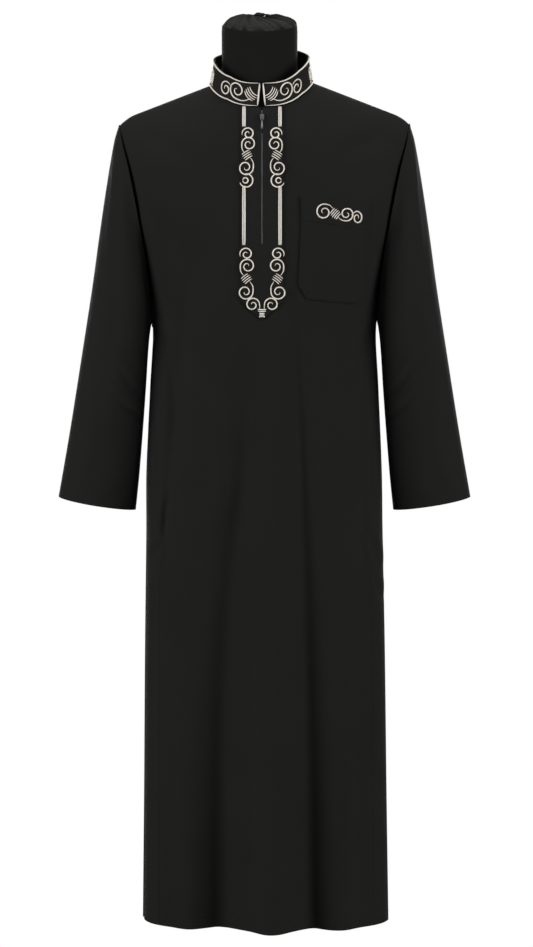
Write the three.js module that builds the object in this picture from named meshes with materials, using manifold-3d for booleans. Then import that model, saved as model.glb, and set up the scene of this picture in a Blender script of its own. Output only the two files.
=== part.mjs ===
// A long abaya with a stand collar, a zip placket, a chest pocket and set-in sleeves, worn by a
// limbless dress form on a pole. Millimetres, +Z up, -Y is the front, +X the wearer's left.
// The origin is the middle of the base's underside. The cutter's heights in the tables below are
// measured from FLOOR_Z under that, and the whole is set down by it at the end.

import * as THREE from 'three';
import { mergeVertices } from 'three/addons/utils/BufferGeometryUtils.js';
import Module from 'manifold-3d';

const wasm = await Module();
wasm.setup();

// --- Driving dimensions ------------------------------------------------------

const CLOTH = 1.6;
const SEAM_GAP = 0.3;
const COLLAR_CLOTH = 2.4;
const ON_FRONT = 0.7; // an applied piece's gap over the front

const FLOOR_Z = 9.5;
const UNDERARM_Z = 1010;
const SECTION_POWER = 2.4;

const NECK_CENTRE = -5;
const NECK_HALF_WIDTH = 84;
const NECK_HALF_DEPTH = 74.5;
const FRONT_NECK_POWER = 3;
const BACK_NECK_POWER = 2.2;
const COLLAR_HEIGHT = { front: 40, back: 50 };
const COLLAR_LEAN_SIDE = 7;
const COLLAR_LEAN_FRONT = 5;
const COLLAR_GAP_BASE = 5;
const COLLAR_GAP_TOP = 1.8;

const DOME_Z = 1100;
const FRONT_DOME_POWER = 2.6;
const BACK_DOME_POWER = 4;
const BACK_NECK_RISE = 50;
const BACK_NECK_REACH = 86;

const SHOULDER_CENTRE = 1;
const SHOULDER_NECK_X = 100;
const SHOULDER_NECK_Z = 1389;
const SHOULDER_SLOPE = 0.385;
const SHOULDER_DROP_X = 212;
const SHOULDER_DROP = 0.012;
const SHOULDER_POINT_X = 236;

const PLACKET_CENTRE = -4;
const PLACKET_HALF_WIDTH = 34;
const PLACKET_TIP_Z = 1015;
const PLACKET_SHOULDER_Z = 1046;
const PLACKET_SLIT_HALF = 1.3;
const ZIP_END_Z = 1137;
const FRONT_SLIT_HALF = 3;
const FRONT_SLIT_END_Z = 1074;
const PLACKET_TOP_MARGIN = 1;
const BRAID_OFFSET = 29;
const BRAID_WIDTH = 6;
const BRAID_HEIGHT = 1.4;
const BRAID_TOP = { low: 1325, high: 1358 };
const BRAID_LOW = { low: 1136, high: 1232 };
const COLLAR_LIFT = 0.8;
const CHAIN_HALF = 2.2;
const TAPE_HALF = 13;
const TAPE_CLOTH = 1;
const BEHIND_FRONT = 1.1;
const ZIP_LOW_Z = 1088;

// The sleeve rolls under along its inner side, most at the armhole.
const SLEEVE_FOLD = { shoulder: 0.9, cuff: 0.6 };
const SLEEVE_RINGS = 13;
const ARMHOLE_STEPS = 12;
const ARMHOLE_GAP = 0.45;

// Body sections, hem to shoulder: half width, sideways centre, front and back half depth, and the
// side seam's angle from centre front (90 is the very side).
const BODY = [
  { z: 14, halfWidth: 204.3, centre: 3.3, front: 117, back: 118, seam: 60 },
  { z: 227, halfWidth: 201.2, centre: 2.5, front: 116, back: 116, seam: 61 },
  { z: 470, halfWidth: 198.4, centre: 1.8, front: 114, back: 113, seam: 61.5 },
  { z: 662, halfWidth: 195, centre: 0.8, front: 113, back: 111, seam: 62 },
  { z: 762, halfWidth: 194, centre: 0, front: 112, back: 110, seam: 65 },
  { z: 894, halfWidth: 187.7, centre: 0, front: 112, back: 109, seam: 76 },
  { z: 1010, halfWidth: 184.5, centre: 0, front: 113, back: 109, seam: 90 },
  { z: 1114, halfWidth: 206, centre: 0, front: 115, back: 110, seam: 90 },
  { z: 1196, halfWidth: 236, centre: 0, front: 115, back: 110, seam: 90 },
  { z: 1259, halfWidth: 245, centre: 0, front: 115, back: 110, seam: 90 },
  { z: 1330, halfWidth: 250, centre: 0, front: 115, back: 110, seam: 90 },
];

// The armhole's edge, from the underarm up.
const ARMHOLE = [
  { z: 1010, x: 184.5 },
  { z: 1060, x: 188.8 },
  { z: 1114, x: 195 },
  { z: 1196, x: 207.7 },
  { z: 1259, x: 220.6 },
  { z: 1300, x: 231 },
  { z: 1330, x: 236 },
];

// Heights of the rows of the body below the underarm.
const LOW_ROWS = [14, 60, 130, 200, 275, 350, 430, 510, 585, 640, 695, 750, 815, 880, 945, 1010];
const HALF_COLUMNS = { front: 16, back: 12 };
const NECK_COLUMNS = { front: 7, back: 5 };

// Folds: at each height, the fold's place across, its half width and how far it stands forward
// of the plain section (a trough is negative).
const FRONT_FOLDS = {
  centreRidge: [
    { z: 14, x: 9, spread: 36, rise: 34 },
    { z: 350, x: 6, spread: 34, rise: 20 },
    { z: 700, x: 2, spread: 30, rise: 8 },
    { z: 1000, x: 0, spread: 30, rise: 0 },
  ],
  rightTrough: [
    { z: 14, x: 81, spread: 20, rise: -19 },
    { z: 350, x: 77, spread: 18, rise: -17 },
    { z: 732, x: 67, spread: 13, rise: -11 },
    { z: 1000, x: 50, spread: 11, rise: -5 },
    { z: 1100, x: 43, spread: 9, rise: 0 },
  ],
  rightRidge: [
    { z: 14, x: 132, spread: 24, rise: 12 },
    { z: 600, x: 128, spread: 24, rise: 4 },
    { z: 900, x: 120, spread: 24, rise: 0 },
  ],
  leftTrough: [
    { z: 14, x: -80, spread: 31, rise: -30 },
    { z: 350, x: -78, spread: 29, rise: -22 },
    { z: 600, x: -66, spread: 25, rise: -12 },
    { z: 760, x: -42, spread: 18, rise: -8 },
    { z: 1050, x: -24, spread: 12, rise: 0 },
  ],
  leftRidge: [
    { z: 14, x: -124, spread: 20, rise: 8 },
    { z: 500, x: -120, spread: 20, rise: 3 },
    { z: 800, x: -110, spread: 20, rise: 0 },
  ],
  farLeftTrough: [
    { z: 560, x: -160, spread: 10, rise: 0 },
    { z: 732, x: -158, spread: 11, rise: -6 },
    { z: 1000, x: -132, spread: 12, rise: -5 },
    { z: 1120, x: -118, spread: 12, rise: 0 },
  ],
  farRightTrough: [
    { z: 560, x: 163, spread: 12, rise: 0 },
    { z: 732, x: 165, spread: 12, rise: -4 },
    { z: 1000, x: 166, spread: 12, rise: -3 },
    { z: 1150, x: 172, spread: 12, rise: 0 },
  ],
};
const BACK_FOLDS = {
  centreTrough: [
    { z: 14, x: -6, spread: 24, rise: -16 },
    { z: 600, x: -4, spread: 20, rise: -9 },
    { z: 1150, x: 0, spread: 16, rise: 0 },
  ],
  rightRidge: [
    { z: 14, x: 56, spread: 30, rise: 26 },
    { z: 500, x: 52, spread: 28, rise: 12 },
    { z: 1000, x: 44, spread: 26, rise: 0 },
  ],
  rightTrough: [
    { z: 14, x: 112, spread: 18, rise: -12 },
    { z: 600, x: 106, spread: 16, rise: -6 },
    { z: 1050, x: 98, spread: 14, rise: 0 },
  ],
  leftRidge: [
    { z: 14, x: -66, spread: 30, rise: 22 },
    { z: 500, x: -60, spread: 28, rise: 10 },
    { z: 950, x: -54, spread: 26, rise: 0 },
  ],
  leftTrough: [
    { z: 14, x: -124, spread: 18, rise: -10 },
    { z: 600, x: -116, spread: 16, rise: -6 },
    { z: 1050, x: -104, spread: 14, rise: 0 },
  ],
};

// Side-seam pocket mouths: the front's edge stands off here.
const POCKET_MOUTH = { low: 588, high: 742, gape: 3.5 };

// The sleeve's outer line and inner line, cuff last, and its half depth, for s from 0 to 1.
const SLEEVE_OUTER = [
  { z: 718, x: 338.3 },
  { z: 828, x: 318.9 },
  { z: 960, x: 297.6 },
  { z: 1065, x: 281 },
  { z: 1144, x: 269.9 },
  { z: 1223, x: 258.1 },
  { z: 1301, x: 244.6 },
  { z: 1329, x: 236.4 },
];
const SLEEVE_INNER = [
  { z: 697, x: 213.5 },
  { z: 762, x: 207 },
  { z: 894, x: 196.4 },
  { z: 960, x: 191.8 },
  { z: 1010, x: 186 },
];
const SLEEVE_DEPTH = [
  { s: 0, half: 62 },
  { s: 0.12, half: 72 },
  { s: 0.35, half: 78 },
  { s: 0.7, half: 68 },
  { s: 1, half: 56 },
];

// The chest pocket's outline, and where its band ends.
const POCKET = {
  topLeft: [58, 1214],
  topRight: [168, 1202],
  bandLeft: [59.5, 1176.5],
  bandRight: [166.5, 1161.5],
  sideLeft: [54.5, 1071.5],
  sideRight: [167, 1058],
  bottomLeft: [68.5, 1049.5],
  bottomRight: [153, 1040],
};

// The dress form's torso, bottom to neck.
const TORSO = [
  { z: 735, halfWidth: 148, front: 92, back: 94 },
  { z: 765, halfWidth: 158, front: 99, back: 96 },
  { z: 850, halfWidth: 160, front: 101, back: 97 },
  { z: 960, halfWidth: 144, front: 96, back: 90 },
  { z: 1090, halfWidth: 150, front: 101, back: 96 },
  { z: 1190, halfWidth: 172, front: 104, back: 100 },
  { z: 1260, halfWidth: 190, front: 98, back: 97 },
  { z: 1310, halfWidth: 200, front: 88, back: 92 },
  { z: 1332, halfWidth: 200, front: 80, back: 86 },
  { z: 1350, halfWidth: 180, front: 74, back: 82 },
  { z: 1364, halfWidth: 146, front: 68, back: 76 },
  { z: 1377, halfWidth: 112, front: 62, back: 70 },
  { z: 1388, halfWidth: 80, front: 56, back: 62 },
  { z: 1391, halfWidth: 62, front: 48, back: 52 },
];
const TORSO_SIDES = 36;
const FORM_CLEARANCE = 4;

// The neck block's sections, and its domed top with a hollow for the knot, a little in front of
// the middle.
const NECK_BLOCK = [
  { z: 1391.5, radius: 58, ahead: 0 },
  { z: 1400, radius: 61.5, ahead: 0 },
  { z: 1480, radius: 62, ahead: 0 },
  { z: 1489, radius: 61.5, ahead: 0 },
  { z: 1494.5, radius: 60, ahead: 0 },
  { z: 1499, radius: 56.5, ahead: 0 },
  { z: 1503.5, radius: 49, ahead: 0 },
  { z: 1507, radius: 37, ahead: 1 },
  { z: 1508.8, radius: 27, ahead: 5 },
  { z: 1508, radius: 18.5, ahead: 10 },
  { z: 1505.5, radius: 13, ahead: 14 },
];
const NECK_BLOCK_CENTRE = -8;
const NECK_PLEATS = 18;
const NECK_PLEAT_DEPTH = 1.5;
const NECK_SIDES = 72;
// The block's rim is lower in front than at its sides.
const NECK_RIM_DROP = 10;
const NECK_RIM_FROM = 1440;
const NECK_RIM_REACH = 40;

const BASE_RADIUS = 88;
const BASE_THICKNESS = 8;
const POLE_RADIUS = 14;

// The zip's slider and pull, on the slope of the chest.
const SLIDER_Z = 1341;
const SLIDER = { width: 8, length: 9, thickness: 2.4, bridgeWidth: 1.8, bridgeRise: 3.4, wire: 1.1 };
const PULL_FRAME = { width: 6.4, length: 5.6, wire: 1.2 };
const PULL_TAB = { width: 3.4, length: 17, thickness: 1.1 };

// --- Small helpers -----------------------------------------------------------

const clamp01 = (value) => Math.min(1, Math.max(0, value));
const smooth = (value) => clamp01(value) ** 2 * (3 - 2 * clamp01(value));
const mix = (from, to, share) => from + (to - from) * share;
const degrees = (angle) => (angle * Math.PI) / 180;

// The slope of a table's column at one row, for a smooth run through the rows.
function slopeAt(table, key, column, row) {
  const before = table[Math.max(0, row - 1)];
  const after = table[Math.min(table.length - 1, row + 1)];
  return (after[column] - before[column]) / (after[key] - before[key]);
}

// A table's column at any place along its key, on a smooth curve through the rows.
function along(table, key, at, column) {
  const last = table.length - 1;
  if (at <= table[0][key]) return table[0][column];
  if (at >= table[last][key]) return table[last][column];
  let row = 0;
  while (at > table[row + 1][key]) row += 1;
  const span = table[row + 1][key] - table[row][key];
  const t = (at - table[row][key]) / span;
  const low = table[row][column];
  const high = table[row + 1][column];
  const lowSlope = slopeAt(table, key, column, row) * span;
  const highSlope = slopeAt(table, key, column, row + 1) * span;
  const bend = 2 * low - 2 * high + lowSlope + highSlope;
  return low + t * (lowSlope + t * (3 * (high - low) - 2 * lowSlope - highSlope + t * bend));
}

const body = (z, column) => along(BODY, 'z', z, column);

// --- Closed walls ------------------------------------------------------------

// A mesh from vertices (Vector3) and triangles, turned so that its faces point out.
function solid(name, vertices, triangles, material) {
  let volume = 0;
  const cross = new THREE.Vector3();
  for (const [a, b, c] of triangles) {
    volume += vertices[a].dot(cross.crossVectors(vertices[b], vertices[c]));
  }
  const index = triangles.flatMap(([a, b, c]) => (volume < 0 ? [a, c, b] : [a, b, c]));
  const geometry = new THREE.BufferGeometry().setFromPoints(vertices);
  geometry.setIndex(index);
  geometry.computeVertexNormals();
  const mesh = new THREE.Mesh(geometry, material);
  mesh.name = name;
  return mesh;
}

// A wall between an outer and an inner grid of points (rows of columns). `keep` leaves cells out,
// and `closed` joins the last column to the first. Every free edge of a cell gets a rim.
function wall(name, outer, inner, material, { closed = false, keep = () => true } = {}) {
  const rows = outer.length;
  const columns = outer[0].length;
  const cells = closed ? columns : columns - 1;
  const all = [...outer.flat(), ...inner.flat()];
  const at = (row, column, side) => side * rows * columns + row * columns + (column % columns);
  const has = (row, cell) => {
    const inside = row >= 0 && row < rows - 1 && (closed || (cell >= 0 && cell < cells));
    return inside && keep(row, (cell + cells) % cells);
  };
  const triangles = [];
  const quad = (a, b, c, d) => triangles.push([a, b, c], [a, c, d]);
  for (let row = 0; row < rows - 1; row += 1) {
    for (let cell = 0; cell < cells; cell += 1) {
      if (!has(row, cell)) continue;
      const corners = [[row, cell], [row, cell + 1], [row + 1, cell + 1], [row + 1, cell]];
      const [a, b, c, d] = corners.map(([r, k]) => at(r, k, 0));
      const [e, f, g, h] = corners.map(([r, k]) => at(r, k, 1));
      quad(a, b, c, d);
      quad(h, g, f, e);
      if (!has(row - 1, cell)) quad(a, e, f, b);
      if (!has(row + 1, cell)) quad(c, g, h, d);
      if (!has(row, cell - 1)) quad(d, h, e, a);
      if (!has(row, cell + 1)) quad(b, f, g, c);
    }
  }
  const used = [...new Set(triangles.flat())];
  const place = new Map(used.map((vertex, order) => [vertex, order]));
  const vertices = used.map((vertex) => all[vertex]);
  return solid(name, vertices, triangles.map((t) => t.map((v) => place.get(v))), material);
}

// --- The body's surface ------------------------------------------------------

function foldAt(folds, x, z) {
  let rise = 0;
  for (const table of Object.values(folds)) {
    const offset = (x - along(table, 'z', z, 'x')) / along(table, 'z', z, 'spread');
    rise += along(table, 'z', z, 'rise') * Math.exp(-offset * offset);
  }
  const side = clamp01(Math.abs(x - body(z, 'centre')) / body(z, 'halfWidth'));
  return rise * (1 - side ** 6);
}

// The height of the shoulder line at a place across, with the back neck's rise.
function ridgeZ(x, isBack) {
  const out = Math.abs(x - SHOULDER_CENTRE);
  const drop = out > SHOULDER_DROP_X ? SHOULDER_DROP * (out - SHOULDER_DROP_X) ** 2 : 0;
  const toNeck = Math.max(out, 60);
  const plain = SHOULDER_NECK_Z - SHOULDER_SLOPE * (toNeck - SHOULDER_NECK_X) - drop;
  const inNeck = clamp01(1 - ((x - NECK_CENTRE) / BACK_NECK_REACH) ** 2);
  return plain + (isBack ? BACK_NECK_RISE * inNeck ** 2 : 0);
}

const domePower = (isBack) => (isBack ? BACK_DOME_POWER : FRONT_DOME_POWER);

// How much of the depth is left at a height under the shoulder's dome, as a power.
function domeShare(x, z, isBack) {
  const rise = clamp01((z - DOME_Z) / (ridgeZ(x, isBack) - DOME_Z));
  return 1 - rise ** domePower(isBack);
}

// The implicit skin: zero on the cloth's outer face, positive outside it.
function skinValue(x, y, z) {
  const isBack = y > 0;
  const depth = body(z, isBack ? 'back' : 'front');
  const folded = isBack ? y - foldAt(BACK_FOLDS, x, z) : y + foldAt(FRONT_FOLDS, x, z);
  const across = Math.abs(x - body(z, 'centre')) / body(z, 'halfWidth');
  const wide = 1 - across ** SECTION_POWER;
  return Math.abs(folded / depth) ** SECTION_POWER - domeShare(x, z, isBack) * wide;
}

function skinNormal(point) {
  const step = 0.6;
  const { x, y, z } = point;
  return new THREE.Vector3(
    skinValue(x + step, y, z) - skinValue(x - step, y, z),
    skinValue(x, y + step, z) - skinValue(x, y - step, z),
    skinValue(x, y, z + step) - skinValue(x, y, z - step),
  ).normalize();
}

// The depth of the section without its folds.
function plainDepth(x, z, isBack) {
  const depth = body(z, isBack ? 'back' : 'front');
  const across = Math.abs(x - body(z, 'centre')) / body(z, 'halfWidth');
  const share = Math.max(0, domeShare(x, z, isBack) * (1 - across ** SECTION_POWER));
  return depth * share ** (1 / SECTION_POWER);
}

// The skin's point at a place across and a height, on the front or the back.
function skinPoint(x, z, isBack) {
  const sign = isBack ? 1 : -1;
  const folded = plainDepth(x, z, isBack) + foldAt(isBack ? BACK_FOLDS : FRONT_FOLDS, x, z);
  return new THREE.Vector3(x, sign * Math.max(folded, SEAM_GAP / 2), z);
}

// The skin's height over a place in plan, near the neck.
function skinHeight(x, y) {
  const isBack = y > 0;
  const top = BODY[BODY.length - 1];
  const wide = 1 - Math.abs(x / top.halfWidth) ** SECTION_POWER;
  const deep = Math.abs(y / (isBack ? top.back : top.front)) ** SECTION_POWER;
  const rise = Math.max(0, 1 - deep / wide) ** (1 / domePower(isBack));
  return mix(DOME_Z, ridgeZ(x, isBack), rise);
}

// A point of the neck edge: 0 degrees is centre front, 180 centre back. The front of the neck is
// the squarer half in plan.
function neckPoint(angle, side) {
  const across = Math.sin(angle);
  const x = NECK_CENTRE + side * NECK_HALF_WIDTH * across;
  const power = Math.cos(angle) < 0 ? BACK_NECK_POWER : FRONT_NECK_POWER;
  const deep = Math.max(0, 1 - Math.abs(across) ** power) ** (1 / power);
  const y = -Math.sign(Math.cos(angle)) * NECK_HALF_DEPTH * (deep < 1e-6 ? 0 : deep);
  return new THREE.Vector3(x, y, skinHeight(x, y));
}

// --- Front and back ----------------------------------------------------------

function pocketGape(point) {
  const { low, high, gape } = POCKET_MOUTH;
  return gape * Math.sin(Math.PI * clamp01((point.z - low) / (high - low)));
}

// One row of half a panel below the underarm, from the centre (0) to the side seam.
function lowRow(z, side, isBack, innerX) {
  const columns = isBack ? HALF_COLUMNS.back : HALF_COLUMNS.front;
  const halfWidth = body(z, 'halfWidth');
  const centre = body(z, 'centre');
  const parting = SEAM_GAP / 200;
  const seam = degrees(body(z, 'seam'));
  const points = [];
  for (let column = 0; column <= columns; column += 1) {
    const share = column / columns;
    const angle = isBack
      ? mix(Math.PI, seam + parting, share)
      : mix(0, seam - parting, share);
    const reach = centre + side * halfWidth * Math.sin(angle);
    const x = reach + (innerX - centre) * (1 - share);
    const point = skinPoint(x, z, angle > Math.PI / 2);
    if (!isBack && column === columns) {
      point.addScaledVector(skinNormal(point), pocketGape(point));
    }
    points.push(point);
  }
  return points;
}

// The panel's top edge for half a panel: along the neck, then along the shoulder.
function topEdge(side, isBack, innerX) {
  const kind = isBack ? 'back' : 'front';
  const columns = HALF_COLUMNS[kind];
  const neckColumns = NECK_COLUMNS[kind];
  const offset = Math.asin(Math.abs(innerX - NECK_CENTRE) / NECK_HALF_WIDTH);
  const start = isBack ? Math.PI : offset;
  const points = [];
  for (let column = 0; column <= columns; column += 1) {
    if (column <= neckColumns) {
      points.push(neckPoint(mix(start, Math.PI / 2, column / neckColumns), side));
    } else {
      const share = (column - neckColumns) / (columns - neckColumns);
      const neckSide = NECK_CENTRE + side * NECK_HALF_WIDTH;
      const x = mix(neckSide, side * SHOULDER_POINT_X, share);
      points.push(new THREE.Vector3(x, 0, ridgeZ(x, isBack)));
    }
  }
  return points;
}

// The armhole's edge in the front view, from the underarm (0) to the shoulder point (1).
function armholeEdge(share, side) {
  const topZ = ridgeZ(side * SHOULDER_POINT_X, false);
  const z = mix(UNDERARM_Z, topZ, share);
  return { x: side * along(ARMHOLE, 'z', z, 'x'), z };
}

// Rows of half a panel above the underarm: a patch between its four edges, with rows that crowd
// towards the underarm and the shoulder, where the cloth turns.
function highRows(side, isBack, innerX, lowest) {
  const top = topEdge(side, isBack, innerX);
  const last = top.length - 1;
  const underarm = armholeEdge(0, side);
  const rows = [];
  for (let step = 1; step <= ARMHOLE_STEPS; step += 1) {
    const v = (1 - Math.cos((Math.PI * step) / ARMHOLE_STEPS)) / 2;
    const edge = armholeEdge(v, side);
    const middle = { x: mix(lowest[0].x, top[0].x, v), z: mix(UNDERARM_Z, top[0].z, v) };
    const row = top.map((point, column) => {
      if (step === ARMHOLE_STEPS) return shoulderOrNeck(point, column, isBack);
      const u = column / last;
      const blend = (key) => {
        const low = mix(lowest[0][key], underarm[key], u);
        const high = mix(top[0][key], top[last][key], u);
        const upright = mix(lowest[column][key], point[key], v);
        return upright + mix(middle[key], edge[key], u) - mix(low, high, v);
      };
      return skinPoint(blend('x'), blend('z'), isBack);
    });
    rows.push(row);
  }
  return rows;
}

// A top-edge point kept on the neck's curve, or half a seam gap from the shoulder line.
function shoulderOrNeck(point, column, isBack) {
  const neckColumns = isBack ? NECK_COLUMNS.back : NECK_COLUMNS.front;
  if (column < neckColumns) return point.clone();
  return point.clone().setY((isBack ? 1 : -1) * (SEAM_GAP / 2));
}

function halfPanel(side, isBack, innerX) {
  const low = LOW_ROWS.map((z) => lowRow(z, side, isBack, innerX));
  const high = highRows(side, isBack, innerX, low[low.length - 1]);
  return [...low, ...high];
}

function thicken(outer, thickness) {
  const inward = (point) => point.clone().addScaledVector(skinNormal(point), -thickness);
  return outer.map((row) => row.map(inward));
}

function makePanel(name, isBack, material) {
  const slit = isBack ? 0 : FRONT_SLIT_HALF;
  const right = halfPanel(-1, isBack, PLACKET_CENTRE - slit);
  const left = halfPanel(1, isBack, PLACKET_CENTRE + slit);
  const skip = isBack ? 1 : 0;
  const outer = right.map((row, level) => [...row.slice(skip).reverse(), ...left[level]]);
  const slitCell = HALF_COLUMNS.front;
  const keep = (row, cell) => {
    const middle = outer[row][cell].z + outer[row + 1][cell].z;
    return isBack || cell !== slitCell || middle / 2 < FRONT_SLIT_END_Z;
  };
  return { mesh: wall(name, outer, thicken(outer, CLOTH), material, { keep }), outer, left, right };
}

// --- Sleeves -----------------------------------------------------------------

// The sleeve's first ring, just outside the armhole edges of the front and back.
function armholeRing(front, back, side) {
  const edge = (half) => half.slice(LOW_ROWS.length - 1).map((row) => row[row.length - 1]);
  const frontEdge = edge(front);
  const backEdge = edge(back);
  const top = frontEdge[ARMHOLE_STEPS].clone().lerp(backEdge[ARMHOLE_STEPS], 0.5);
  const low = frontEdge[0].clone().lerp(backEdge[0], 0.5);
  const ring = [top];
  for (let step = ARMHOLE_STEPS - 1; step > 0; step -= 1) ring.push(frontEdge[step].clone());
  ring.push(low);
  for (let step = 1; step < ARMHOLE_STEPS; step += 1) ring.push(backEdge[step].clone());
  ring.forEach((point) => point.setX(point.x + side * ARMHOLE_GAP));
  return ring;
}

function sleeveRing(share, side) {
  const outerZ = mix(SLEEVE_OUTER[SLEEVE_OUTER.length - 1].z, SLEEVE_OUTER[0].z, share);
  const innerZ = mix(SLEEVE_INNER[SLEEVE_INNER.length - 1].z, SLEEVE_INNER[0].z, share);
  const outer = new THREE.Vector3(side * along(SLEEVE_OUTER, 'z', outerZ, 'x'), 0, outerZ);
  const inner = new THREE.Vector3(side * along(SLEEVE_INNER, 'z', innerZ, 'x'), 0, innerZ);
  const centre = outer.clone().lerp(inner, 0.5);
  const reach = outer.clone().sub(centre);
  const half = along(SLEEVE_DEPTH, 's', share, 'half');
  const ring = [];
  for (let step = 0; step < 2 * ARMHOLE_STEPS; step += 1) {
    const angle = (Math.PI * step) / ARMHOLE_STEPS;
    const point = centre.clone().addScaledVector(reach, Math.cos(angle));
    const inward = smooth(-Math.cos(angle)) * mix(SLEEVE_FOLD.shoulder, SLEEVE_FOLD.cuff, share);
    const deep = half * Math.abs(Math.sin(angle)) ** (1 + inward);
    ring.push(point.setY(-Math.sign(Math.sin(angle)) * (deep < 1e-6 ? 0 : deep)));
  }
  return ring;
}

// The inner ring of the armhole lies towards the ring's middle; further rings follow the normal.
function sleeveInner(outer, side) {
  const count = outer[0].length;
  const last = outer.length - 1;
  const middle = outer[0][0].clone().lerp(outer[0][ARMHOLE_STEPS], 0.5);
  return outer.map((ring, level) => ring.map((point, step) => {
    if (level === 0) {
      const inward = middle.clone().sub(point);
      inward.x = 0;
      return point.clone().addScaledVector(inward.normalize(), CLOTH);
    }
    const alongArm = outer[Math.min(last, level + 1)][step].clone().sub(outer[level - 1][step]);
    const round = ring[(step + 1) % count].clone().sub(ring[(step + count - 1) % count]);
    const normal = alongArm.cross(round).normalize();
    return point.clone().addScaledVector(normal, -side * CLOTH);
  }));
}

function makeSleeve(name, front, back, side, material) {
  const outer = [armholeRing(front, back, side)];
  for (let ring = 1; ring <= SLEEVE_RINGS; ring += 1) {
    outer.push(sleeveRing(ring / SLEEVE_RINGS, side));
  }
  return wall(name, outer, sleeveInner(outer, side), material, { closed: true });
}

// --- Collar ------------------------------------------------------------------

// The collar's height: 40 mm in front, and higher round the back.
function collarHeight(angle) {
  const behind = smooth((angle - 1.3) / 0.9);
  return mix(COLLAR_HEIGHT.front, COLLAR_HEIGHT.back, behind);
}

function makeCollar(material) {
  const levels = [0, 0.5, 1];
  const frontSteps = NECK_COLUMNS.front;
  const backSteps = NECK_COLUMNS.back;
  const outer = [];
  const inner = [];
  for (const level of levels) {
    const gap = mix(COLLAR_GAP_BASE, COLLAR_GAP_TOP, level);
    const start = Math.asin(gap / NECK_HALF_WIDTH);
    const angles = [];
    for (let step = 0; step < frontSteps; step += 1) {
      angles.push(mix(start, Math.PI / 2, step / frontSteps));
    }
    for (let step = 0; step <= backSteps; step += 1) {
      angles.push(mix(Math.PI / 2, Math.PI, step / backSteps));
    }
    const ringPoint = (angle, side, inset) => {
      const base = neckPoint(angle, side);
      const lean = { x: level * COLLAR_LEAN_SIDE + inset, y: level * COLLAR_LEAN_FRONT + inset };
      const x = base.x - side * lean.x * Math.sin(angle);
      const y = base.y + lean.y * Math.cos(angle);
      return new THREE.Vector3(x, y, base.z + COLLAR_LIFT + level * (collarHeight(angle) - COLLAR_LIFT));
    };
    const half = (side, inset) => angles.map((angle) => ringPoint(angle, side, inset));
    outer.push([...half(-1, 0), ...half(1, 0).reverse().slice(1)]);
    inner.push([...half(-1, COLLAR_CLOTH), ...half(1, COLLAR_CLOTH).reverse().slice(1)]);
  }
  return wall('collar', outer, inner, material);
}

// --- Pieces laid on the front ------------------------------------------------

// How far out the panel's flat facets reach over a place in the front view.
function facetY(rows, x, z) {
  const inTriangle = (a, b, c) => {
    const area = (b.x - a.x) * (c.z - a.z) - (c.x - a.x) * (b.z - a.z);
    const u = ((x - a.x) * (c.z - a.z) - (c.x - a.x) * (z - a.z)) / area;
    const v = ((b.x - a.x) * (z - a.z) - (x - a.x) * (b.z - a.z)) / area;
    return u >= 0 && v >= 0 && u + v <= 1 ? mix(a.y, b.y, u) + v * (c.y - a.y) : null;
  };
  for (let row = 0; row < rows.length - 1; row += 1) {
    for (let cell = 0; cell < rows[row].length - 1; cell += 1) {
      const [a, b] = [rows[row][cell], rows[row][cell + 1]];
      const [c, d] = [rows[row + 1][cell + 1], rows[row + 1][cell]];
      const y = inTriangle(a, b, c) ?? inTriangle(a, c, d);
      if (y !== null) return y;
    }
  }
  return NaN;
}

// A closed piece over a grid of [x, z] places, between two heights above the front's face, or
// below it, clear of the panel's facets.
function laid(name, grid, low, high, material, options) {
  const clearOf = high > 0 ? Math.min : Math.max;
  const lifted = (height) => grid.map((row) => row.map(([x, z]) => {
    const point = skinPoint(x, z, false);
    const normal = skinNormal(point);
    point.y = clearOf(point.y, facetY(front.outer, x, z));
    return point.addScaledVector(normal, height);
  }));
  return wall(name, lifted(high), lifted(low), material, options);
}

// Evenly spaced values from one end to the other, both ends included.
const steps = (from, to, count) => Array.from({ length: count + 1 }, (_, i) => mix(from, to, i / count));

// The neck edge's height over a place across, for a piece that starts at the collar.
function neckFrontZ(x) {
  return neckPoint(Math.asin((x - NECK_CENTRE) / NECK_HALF_WIDTH), 1).z;
}

function makePlacket(material) {
  const offsets = [-1, -0.62, -0.3, -PLACKET_SLIT_HALF / PLACKET_HALF_WIDTH];
  const across = [...offsets, ...offsets.map((value) => -value).reverse()];
  const grid = steps(0, 1, 14).map((level) => across.map((offset) => {
    const x = PLACKET_CENTRE + offset * PLACKET_HALF_WIDTH;
    const tip = mix(PLACKET_TIP_Z, PLACKET_SHOULDER_Z, Math.abs(offset));
    return [x, mix(tip, neckFrontZ(x) - PLACKET_TOP_MARGIN, level)];
  }));
  const slitCell = offsets.length - 1;
  const keep = (row, cell) => cell !== slitCell || grid[row][cell][1] < ZIP_END_Z - 12;
  return laid('placket', grid, ON_FRONT, ON_FRONT + CLOTH, material, { keep });
}

function makeBraid(name, side, { low, high }, material) {
  const centre = PLACKET_CENTRE + side * BRAID_OFFSET;
  const grid = steps(low, high, Math.ceil((high - low) / 14)).map((z) => (
    [-0.5, 0, 0.5].map((share) => [centre + share * BRAID_WIDTH, z])));
  const under = ON_FRONT + CLOTH + 0.5;
  return laid(name, grid, under, under + BRAID_HEIGHT, material);
}

// A grid between four corners given as [x, z]: low left, low right, high right, high left.
function quadGrid([lowLeft, lowRight, highRight, highLeft], columns, rows) {
  return steps(0, 1, rows).map((v) => steps(0, 1, columns).map((u) => {
    const lerp = (key) => mix(mix(lowLeft[key], lowRight[key], u), mix(highLeft[key], highRight[key], u), v);
    return [lerp(0), lerp(1)];
  }));
}

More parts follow.
